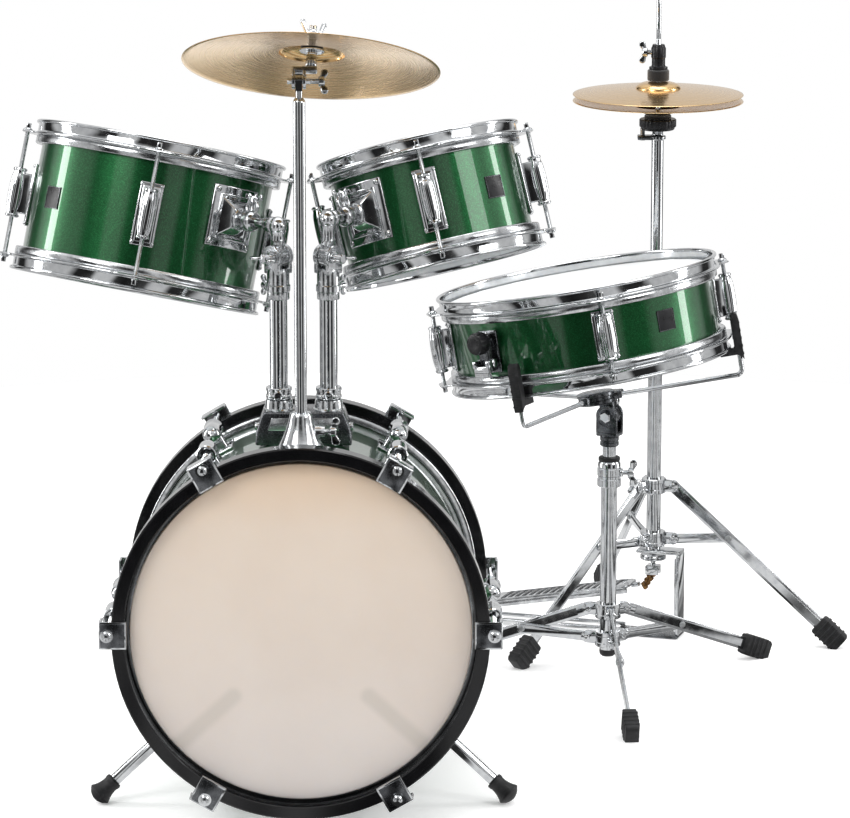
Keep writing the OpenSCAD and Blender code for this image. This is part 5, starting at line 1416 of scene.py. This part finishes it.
class KIT_OT_snare_stand(KitOperator):
    """Makes the tubes of the snare stand and the fork that carries the basket"""

    bl_idname = "kit.snare_stand"
    bl_label = "Snare stand"

    def build(self, sizes):
        place = stand_frame("snare")
        hinge = joint("snare_tilt")[0].z * 1000
        lower = joint("snare_brace_1_fold")[0].z * 1000
        base = Piece("snare_stand_base", place, "root", [FINISH["chrome"], FINISH["rubber"]],
                     ["snare_base_tube"], "chrome")
        base.put(sleeve(9.5, 8.06, hinge - 40 - lower, 0.5, 56), move(0, 0, lower - 16))
        base.put(lathe([(0, -3), (7, -3), (9.2, -1), (9.8, 2), (9.8, 5), (0, 5)], 40),
                 move(0, 0, lower - 18), finish=1)
        ringed_clamp(base, 14, 9.6, 30, move(0, 0, hinge - 84))
        base.put(sleeve(12.5, 8.1, 5, 1, 48), move(0, 0, hinge - 53.9), finish=1)
        knob = move(14, 0, hinge - 68) @ turn("Y", 90)
        base.put(bar(5, 4, 0.8, 28), knob, move(0, 0, -2))
        wing_screw(base, 9, knob, r=3, span=15)
        base.done()
        braces = Piece("snare_brace_collar", leg_frame("snare", 1), "root", [FINISH["chrome"]], (), "chrome")
        KIT_OT_tripods.forks(self, braces, lower, 9.6, 3.15, 2.5)
        braces.done()
        upper = Piece("snare_stand_tube", place, "snare_upper", [FINISH["chrome"]], ["snare_upper_tube"],
                      "chrome")
        upper.put(sleeve(8, 6.5, 136, 0.5, 56), move(0, 0, hinge - 160))
        upper.done()
        self.fork(basket_frame(sizes) @ turn("X", sizes.snare_lean))

    def fork(self, place):
        piece = Piece("snare_tilter_casting", place, "snare_upper", [FINISH["dark"], FINISH["chrome"]],
                      ["snare_tilter"], "dark_cast")
        cheek = [(0, 0), (10.6, 0), (12.6, 0.6), (13, 1.4), (13, 3), (12.4, 3.5), (10.4, 3.5), (9.8, 3),
                 (8, 3), (7.4, 3.6), (5, 3.9), (0, 3.9)]
        for s in (-1, 1):
            piece.put(lathe(cheek, 56), move(s * 6.85, 0, 0), turn("Y", 90 * s))
            piece.put(block(3.5, 26, 20, 1.2, 3), move(s * 8.6, 0, -10))
            for k in range(28):
                piece.put(block(0.9, 2.2, 1.0, 0.3, 1), move(s * 6.85, 0, 0), turn("Y", 90 * s),
                          turn("Z", k * 360 / 28), move(11.6, 0, 3.4))
        piece.put(block(20.7, 26, 6, 1.8, 3), move(0, 0, -21))
        ringed_clamp(piece, 11, 8.1, 15, move(0, 0, -36))
        piece.put(lathe([(0, 0), (7, 0), (7.4, 1), (7, 3.6), (5.4, 5), (0, 5.4)], 6), move(-10.4, 0, 0),
                  turn("Y", -90), finish=1)
        wing_screw(piece, 8, move(9, 0, 0), turn("Y", 90), r=3.2, span=16, finish=1)
        piece.done()


class KIT_OT_hihat_stand(KitOperator):
    """Makes the hi-hat's tubes, its cymbal seat, the pull rod with its clutch, and both cymbals"""

    bl_idname = "kit.hihat_stand"
    bl_label = "Hi-hat stand"

    def build(self, sizes):
        place = stand_frame("hihat")
        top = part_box("hihat_seat")[1].z * 1000 - 18
        lower = joint("hihat_brace_1_fold")[0].z * 1000
        upper_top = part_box("hihat_upper_tube")[1].z * 1000 - 5.1
        upper_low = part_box("hihat_upper_tube")[0].z * 1000
        base_top = upper_low + 160
        cage = lower - 17
        base = Piece("hihat_stand_base", place, "root", [FINISH["chrome"], FINISH["dark"], FINISH["zinc"]],
                     ["hihat_frame"], "chrome")
        base.put(sleeve(8.75, 7.3, base_top - cage, 0.5, 56), move(0, 0, cage))
        ringed_clamp(base, 13.8, 8.8, 26, move(0, 0, base_top - 24))
        knob = move(0, 13.6, base_top - 12) @ turn("X", -90)
        base.put(bar(5, 4, 0.8, 28), knob, move(0, 0, -2))
        wing_screw(base, 8, knob, r=3, span=15)
        ringed_clamp(base, 16, 5, 6, move(0, 0, cage - 9))
        base.done()
        braces = Piece("hihat_brace_collar", leg_frame("hihat", 1), "root", [FINISH["chrome"]], (), "chrome")
        KIT_OT_tripods.forks(self, braces, lower, 8.85, 3.15, 2.5)
        braces.done()
        upper = Piece("hihat_stand_tube", place, "hihat_upper", [FINISH["chrome"], FINISH["dark"]],
                      ["hihat_upper_tube"], "chrome")
        upper.put(sleeve(7.25, 4.5, upper_top - upper_low, 0.5, 56), move(0, 0, upper_low))
        ringed_clamp(upper, 10, 4.5, 5, move(0, 0, upper_top + 0.1))
        upper.put(block(19, 15, 5, 1.2, 3), move(-14.5, 0, upper_top + 2.6), finish=1)
        upper.done()
        self.seat(place, top)
        self.cymbals(place, sizes.hihat_diameter * 500)
        self.rod(place)

    def seat(self, place, base):
        piece = Piece("hihat_seat_cup", place, "hihat_upper", [FINISH["plastic"], FINISH["chrome"],
                      FINISH["felt"]], ["hihat_seat"], "dark_cast")
        cup = [(5.6, 0), (18.8, 0), (20, 1), (20, 2.6), (21.6, 3.6), (22, 4.6), (22, 12), (21, 13), (5.6, 13)]
        turned = lathe(cup, 96, closed=True)
        for v in turned.verts:
            if v.co.xy.length > 20.8 and 3 < v.co.z < 12.6:
                shrink = 1 - 0.03 * max(0, cos(24 * atan2(v.co.y, v.co.x)))
                v.co.x, v.co.y = v.co.x * shrink, v.co.y * shrink
        piece.put(turned, move(0, 0, base))
        felt = [(5.7, 13)] + arc(14.4, 14.6, 1.6, -90, 0, 3) + arc(14.4, 16.2, 1.6, 0, 90, 3) + [(5.7, 17.9)]
        piece.put(lathe(felt, 48, closed=True), move(0, 0, base), finish=2)
        piece.put(thread(3, 14, 1.0, 24), move(-18, 0, base - 12), finish=1)
        piece.put(lathe([(0, 0), (3, 0), (3.4, 0.8), (3.2, 2.4), (0, 2.8)], 24), move(-18, 0, base - 13),
                  finish=1)
        for k in range(4):
            coil = lathe(arc(6.0, 0, 0.75, 0, 324, 9), 36, closed=True)
            piece.put(coil, move(0, 0, base - 5.8 + 1.6 * k), finish=1)
        piece.done()

    def cymbals(self, place, r):
        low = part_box("hihat_cymbal_bottom")[1].z * 1000
        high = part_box("hihat_cymbal_top")[0].z * 1000 + 1.2
        flip = Matrix.Diagonal((1, 1, -1, 1))
        cymbal_piece("hihat_lower_disc", place @ move(0, 0, low - 1.2) @ flip, "hihat_upper",
                     "hihat_cymbal_bottom", r, 8, 27, 8, 7, "hihat_lower_bronze")
        cymbal_piece("hihat_upper_disc", place @ move(0, 0, high), "hihat_rod", "hihat_cymbal_top", r, 8, 27,
                     8, 7, "hihat_upper_bronze")

    def rod(self, place):
        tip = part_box("hihat_rod")[1].z * 1000
        bell = tip - 100
        low = 84
        piece = Piece("hihat_pull_rod", place, "hihat_rod",
                      [FINISH["chrome"], FINISH["felt"], FINISH["plastic"], FINISH["chain"]], ["hihat_rod"],
                      "dark_cast")
        piece.put(bar(3, bell + 50 - low, 0.4, 32), move(0, 0, low))
        piece.put(bar(2.8, 51, 1.2, 32), move(0, 0, bell + 49))
        felt = arc(11.4, 1.9, 1.6, -90, 0, 3) + arc(11.4, 11.7, 1.6, 0, 90, 3)
        piece.put(lathe([(3.2, 0.3)] + felt + [(3.2, 13.3)], 44, closed=True), move(0, 0, bell), finish=1)
        clutch = [(3.1, 13.5), (10.4, 13.5), (11, 14.2), (11, 16.6), (8.4, 17.6), (8, 19), (8, 27), (8.8, 28),
                  (8.8, 39), (8, 40.4), (7, 43.4), (3.1, 43.5)]
        piece.put(lathe(clutch, 44, closed=True), move(0, 0, bell), finish=2)
        piece.put(sleeve(6, 3.1, 24, 0.8, 40), move(0, 0, bell - 26))
        grip = move(-8, 0, bell + 34) @ turn("Y", -90)
        wing_screw(piece, 6, grip, r=3, span=13)
        turned = pedal_frame()
        links = place.inverted() @ turned
        piece.put(block(16, 3.6, 11, 0.8, 2), links, move(0, 5.9, low - 2.5))
        piece.put(block(16, 3.6, 11, 0.8, 2), links, move(0, -5.9, low - 2.5))
        piece.put(block(16, 15, 4, 0.8, 2), links, move(0, 0, low + 1))
        piece.put(bar(1.6, 17, 0.3, 16), links, move(0, 8.5, low - 5), turn("X", 90))
        for k in range(4):
            at = links @ move(3.4 * k, 0, low - 7 - 5.4 * k) @ turn("Y", 32)
            plate = arc(0, 2.7, 2.4, 0, 180, 6) + arc(0, -2.7, 2.4, 180, 360, 6)
            for side in (-1, 1):
                wide = 3.1 if k % 2 else 1.7
                piece.put(slab(plate, 0.9, 0.25, 2), at, move(0, side * wide + 0.45, 0), turn("X", 90),
                          finish=3)
            piece.put(bar(1.7, 5.4, 0.3, 16), at, move(0, 2.7, 2.7), turn("X", 90), finish=3)
        piece.done()


class KIT_OT_pedal(KitOperator):
    """Makes the base of the hi-hat pedal and its footboard"""

    bl_idname = "kit.pedal"
    bl_label = "Pedal"

    def build(self, sizes):
        place = pedal_frame()
        heel, _ = joint("hihat_pedal")
        centre = place.translation
        heel_x = Vector((heel.x - centre.x, heel.y - centre.y)).length * 1000
        cage = joint("hihat_brace_1_fold")[0].z * 1000 - 17
        base = Piece("pedal_base", place, "root", [FINISH["dark"], FINISH["chrome"], FINISH["rubber"]], (),
                     "chrome")
        base.put(block(54, 28, 4, 1.2, 3), move(-9, 0, cage + 2), finish=1)
        base.put(block(4, 28, cage - 4, 1.2, 3), move(-34, 0, cage / 2 + 2), finish=1)
        for s in (-1, 1):
            base.put(block(3, 3, cage - 12, 0.8), move(-31.5, s * 12, cage / 2 + 2), finish=1)
        base.put(block(80, 36, 3.2, 1.2, 3), move(4, 0, 2.4))
        base.put(block(76, 32, 1.4, 0.4), move(4, 0, 0.8), finish=2)
        base.put(block(34, 76, 3.2, 1.2, 3), move(heel_x + 7, 0, 2.4))
        base.put(block(30, 72, 1.4, 0.4), move(heel_x + 7, 0, 0.8), finish=2)
        for s in (-1, 1):
            base.put(bar(2.5, heel_x - 36, 0.6, 28), move(38, s * 14, 6.6), turn("Y", 90), finish=1)
            lug = [(heel_x - 7, 4), (heel_x + 7, 4)] + arc(heel_x, 14, 7, 0, 180, 10)
            base.put(slab(lug, 4, 0.8, 2), move(0, s * 33 + 2, 0), turn("X", 90))
            dome_screw(base, 3, move(heel_x + 16, s * 24, 4))
            dome_screw(base, 3, move(32, s * 9, 4), finish=1)
            base.put(bar(3, 15, 0.5, 24), move(heel_x, s * 31 + 7.5, 14), turn("X", 90), finish=1)
        base.done()
        self.footboard(place, heel_x)

    def footboard(self, place, heel_x):
        board = heel_x - 24
        slope = degrees(atan2(44, board))
        length = Vector((board, 44)).length
        piece = Piece("footboard_plate", place @ move(heel_x, 0, 14) @ turn("Y", slope), "hihat_footboard",
                      [FINISH["casting"], FINISH["dark"], FINISH["chrome"]], ["hihat_footboard"], "cast")
        toe = [(-62, -22)] + arc(-length + 10, -12, 10, 270, 180, 5) + \
            arc(-length + 10, 12, 10, 180, 90, 5) + \
            [(-62, 22)]
        piece.put(slab(toe, 3, 0.9, 2), move(0, 0, 3))
        piece.put(slab([(-61, -30), (-61, 30), (-3, 30), (4, 22), (4, -22), (-3, -30)], 3, 0.9, 2),
                  move(0, 0, 3))
        rows = int((length - 86) / 9)
        for k in range(rows):
            piece.put(block(4.2, 32, 1.6, 0.6, 2), move(-length + 20 + 9 * k, 0, 6.2), finish=1)
        for k in range(5):
            piece.put(block(3.6, 46, 1.4, 0.5, 2), move(-50 + 10 * k, 0, 6.2), finish=1)
        for s in (-1, 1):
            piece.put(block(length - 66, 3, 7, 0.8, 2), move(-(length + 60) / 2, s * 20, 0.5))
            piece.put(slab([(-11, 6), (-7, -5), (5, -6), (8, -2), (8, 2), (4, 6)], 4, 0.8, 2),
                      move(0, s * 28 + 2, 0), turn("X", 90))
            piece.put(block(length - 90, 1.8, 1.2, 0.4, 1), move(-(length + 66) / 2, s * 18.6, 6.2))
        piece.put(block(10, 10, 5, 1.2, 2), move(-length - 3, 0, 2.5), finish=2)
        dome_screw(piece, 3, move(-length + 10, 0, 6), finish=2)
        piece.done()


# ---------------------------------------------------------------- studio

class KIT_OT_stage(KitOperator):
    bl_idname = "kit.stage"
    bl_label = "Studio"

    def build(self, sizes):
        studio = bpy.context.scene.studio
        self.floor()
        self.sky(studio.sky_level)
        centre = middle("bass_shell")
        power = studio.softbox_power
        self.softbox("key_box", (-1.7, -2.2, 2.3), centre, 1.3, 1.3, power)
        self.softbox("fill_box", (2.2, -1.8, 1.8), centre, 1.2, 1.2, power * 0.55)
        self.softbox("top_box", (0.1, 0.1, 2.9), centre, 1.8, 1.8, power * 0.9)
        self.softbox("left_strip", (-2.2, 0.1, 0.9), centre, 0.35, 2.0, power * 0.6)
        self.softbox("right_strip", (2.3, 0.2, 0.9), centre, 0.35, 2.0, power * 0.5)
        self.camera(studio, centre)
        bpy.context.scene.view_settings.view_transform = "Standard"

    def floor(self):
        bm = bmesh.new()
        bmesh.ops.create_circle(bm, cap_ends=True, segments=96, radius=1.9)
        mesh = bpy.data.meshes.new("studio_floor")
        bm.to_mesh(mesh)
        bm.free()
        mesh.materials.append(FINISH["paper"])
        plane = bpy.data.objects.new("studio_floor", mesh)
        bpy.context.scene.collection.objects.link(plane)

    def sky(self, level):
        world = bpy.data.worlds.new("studio_sky")
        world.use_nodes = True
        tree = world.node_tree
        tree.nodes.clear()
        coords = add(tree, "ShaderNodeTexCoord")
        split = add(tree, "ShaderNodeSeparateXYZ", {"Vector": coords.outputs["Generated"]})
        side = add(tree, "ShaderNodeMapRange", {"Value": split.outputs["X"], "From Min": -1.0,
                                                "From Max": 1.0})
        # tall white panels stand to the left and right, with unlit gaps between them
        panels = shades(tree, side.outputs["Result"], [
            (0.0, grey(0.85)), (0.06, grey(0.85)), (0.1, grey(0.03)), (0.19, grey(0.03)), (0.22, grey(1.0)),
            (0.33, grey(1.0)), (0.37, grey(0.05)), (0.44, grey(0.02)), (0.53, grey(0.04)), (0.6, grey(0.10)),
            (0.64, grey(0.9)), (0.74, grey(1.0)), (0.78, grey(0.04)), (0.9, grey(0.04)), (0.94, grey(0.9)),
            (1.0, grey(0.9))])
        overhead = shades(tree, split.outputs["Z"], [(0.42, grey(0.0)), (0.62, grey(1.0))])
        backdrop = shades(tree, split.outputs["Y"], [(0.74, grey(0.0)), (0.9, grey(1.0))])
        band = blended(tree, overhead, blended(tree, backdrop, panels, grey(1.0)), grey(1.25))
        lit = add(tree, "ShaderNodeBackground", {"Color": band, "Strength": level})
        plain = add(tree, "ShaderNodeBackground", {"Color": (1, 1, 1, 1), "Strength": 1.0})
        path = add(tree, "ShaderNodeLightPath")
        mixed = add(tree, "ShaderNodeMixShader", {0: path.outputs["Is Camera Ray"], 1: lit.outputs[0],
                                                  2: plain.outputs[0]})
        add(tree, "ShaderNodeOutputWorld", {"Surface": mixed.outputs[0]})
        bpy.context.scene.world = world

    def softbox(self, name, place, aim, width, height, watts):
        data = bpy.data.lights.new(name, "AREA")
        data.shape = "RECTANGLE"
        data.size = width
        data.size_y = height
        data.energy = watts
        box = bpy.data.objects.new(name, data)
        box.location = Vector(place)
        box.rotation_euler = (aim - Vector(place)).to_track_quat("-Z", "Y").to_euler()
        bpy.context.scene.collection.objects.link(box)

    def camera(self, studio, centre):
        data = bpy.data.cameras.new("studio_camera")
        data.lens = studio.focal_length
        data.sensor_width = 36
        data.clip_end = 60
        eye = bpy.data.objects.new("studio_camera", data)
        eye.location = (centre.x + studio.camera_aside, centre.y - 0.16834 - studio.camera_back,
                        studio.camera_height)
        eye.rotation_euler = (radians(90 - studio.camera_dip), 0, 0)
        bpy.context.scene.collection.objects.link(eye)
        bpy.context.scene.camera = eye


# ---------------------------------------------------------------- add-on

OPERATORS = (KIT_OT_finishes, KIT_OT_badges, KIT_OT_drum_fittings, KIT_OT_bass_fittings, KIT_OT_spurs,
             KIT_OT_tom_mount, KIT_OT_tom_arms, KIT_OT_crash, KIT_OT_snare_parts, KIT_OT_tripods,
             KIT_OT_snare_stand, KIT_OT_hihat_stand, KIT_OT_pedal, KIT_OT_stage)


class KIT_PT_panel(bpy.types.Panel):
    """Sidebar panel with the sizes, the colours and one button for each group of pieces"""

    bl_idname = "KIT_PT_panel"
    bl_label = "Drum Kit"
    bl_space_type = "VIEW_3D"
    bl_region_type = "UI"
    bl_category = "Drum Kit"

    def draw(self, context):
        scene = context.scene
        for title, group in (("Sizes", scene.drum_sizes), ("Colours", scene.kit_colours),
                             ("Studio", scene.studio)):
            box = self.layout.box()
            box.label(text=title)
            for name in type(group).__annotations__:
                box.prop(group, name)
        for kind in OPERATORS:
            self.layout.operator(kind.bl_idname)


CLASSES = (DrumSizes, KitColours, StudioSettings) + OPERATORS + (KIT_PT_panel,)


def register():
    for kind in CLASSES:
        bpy.utils.register_class(kind)
    bpy.types.Scene.drum_sizes = PointerProperty(type=DrumSizes)
    bpy.types.Scene.kit_colours = PointerProperty(type=KitColours)
    bpy.types.Scene.studio = PointerProperty(type=StudioSettings)


def unregister():
    del bpy.types.Scene.studio
    del bpy.types.Scene.kit_colours
    del bpy.types.Scene.drum_sizes
    for kind in reversed(CLASSES):
        bpy.utils.unregister_class(kind)


def main():
    register()
    for kind in OPERATORS:
        group, name = kind.bl_idname.split(".")
        if getattr(getattr(bpy.ops, group), name)() != {"FINISHED"}:
            raise RuntimeError(f"{kind.bl_label} was not finished")


if __name__ == "__main__":
    main()
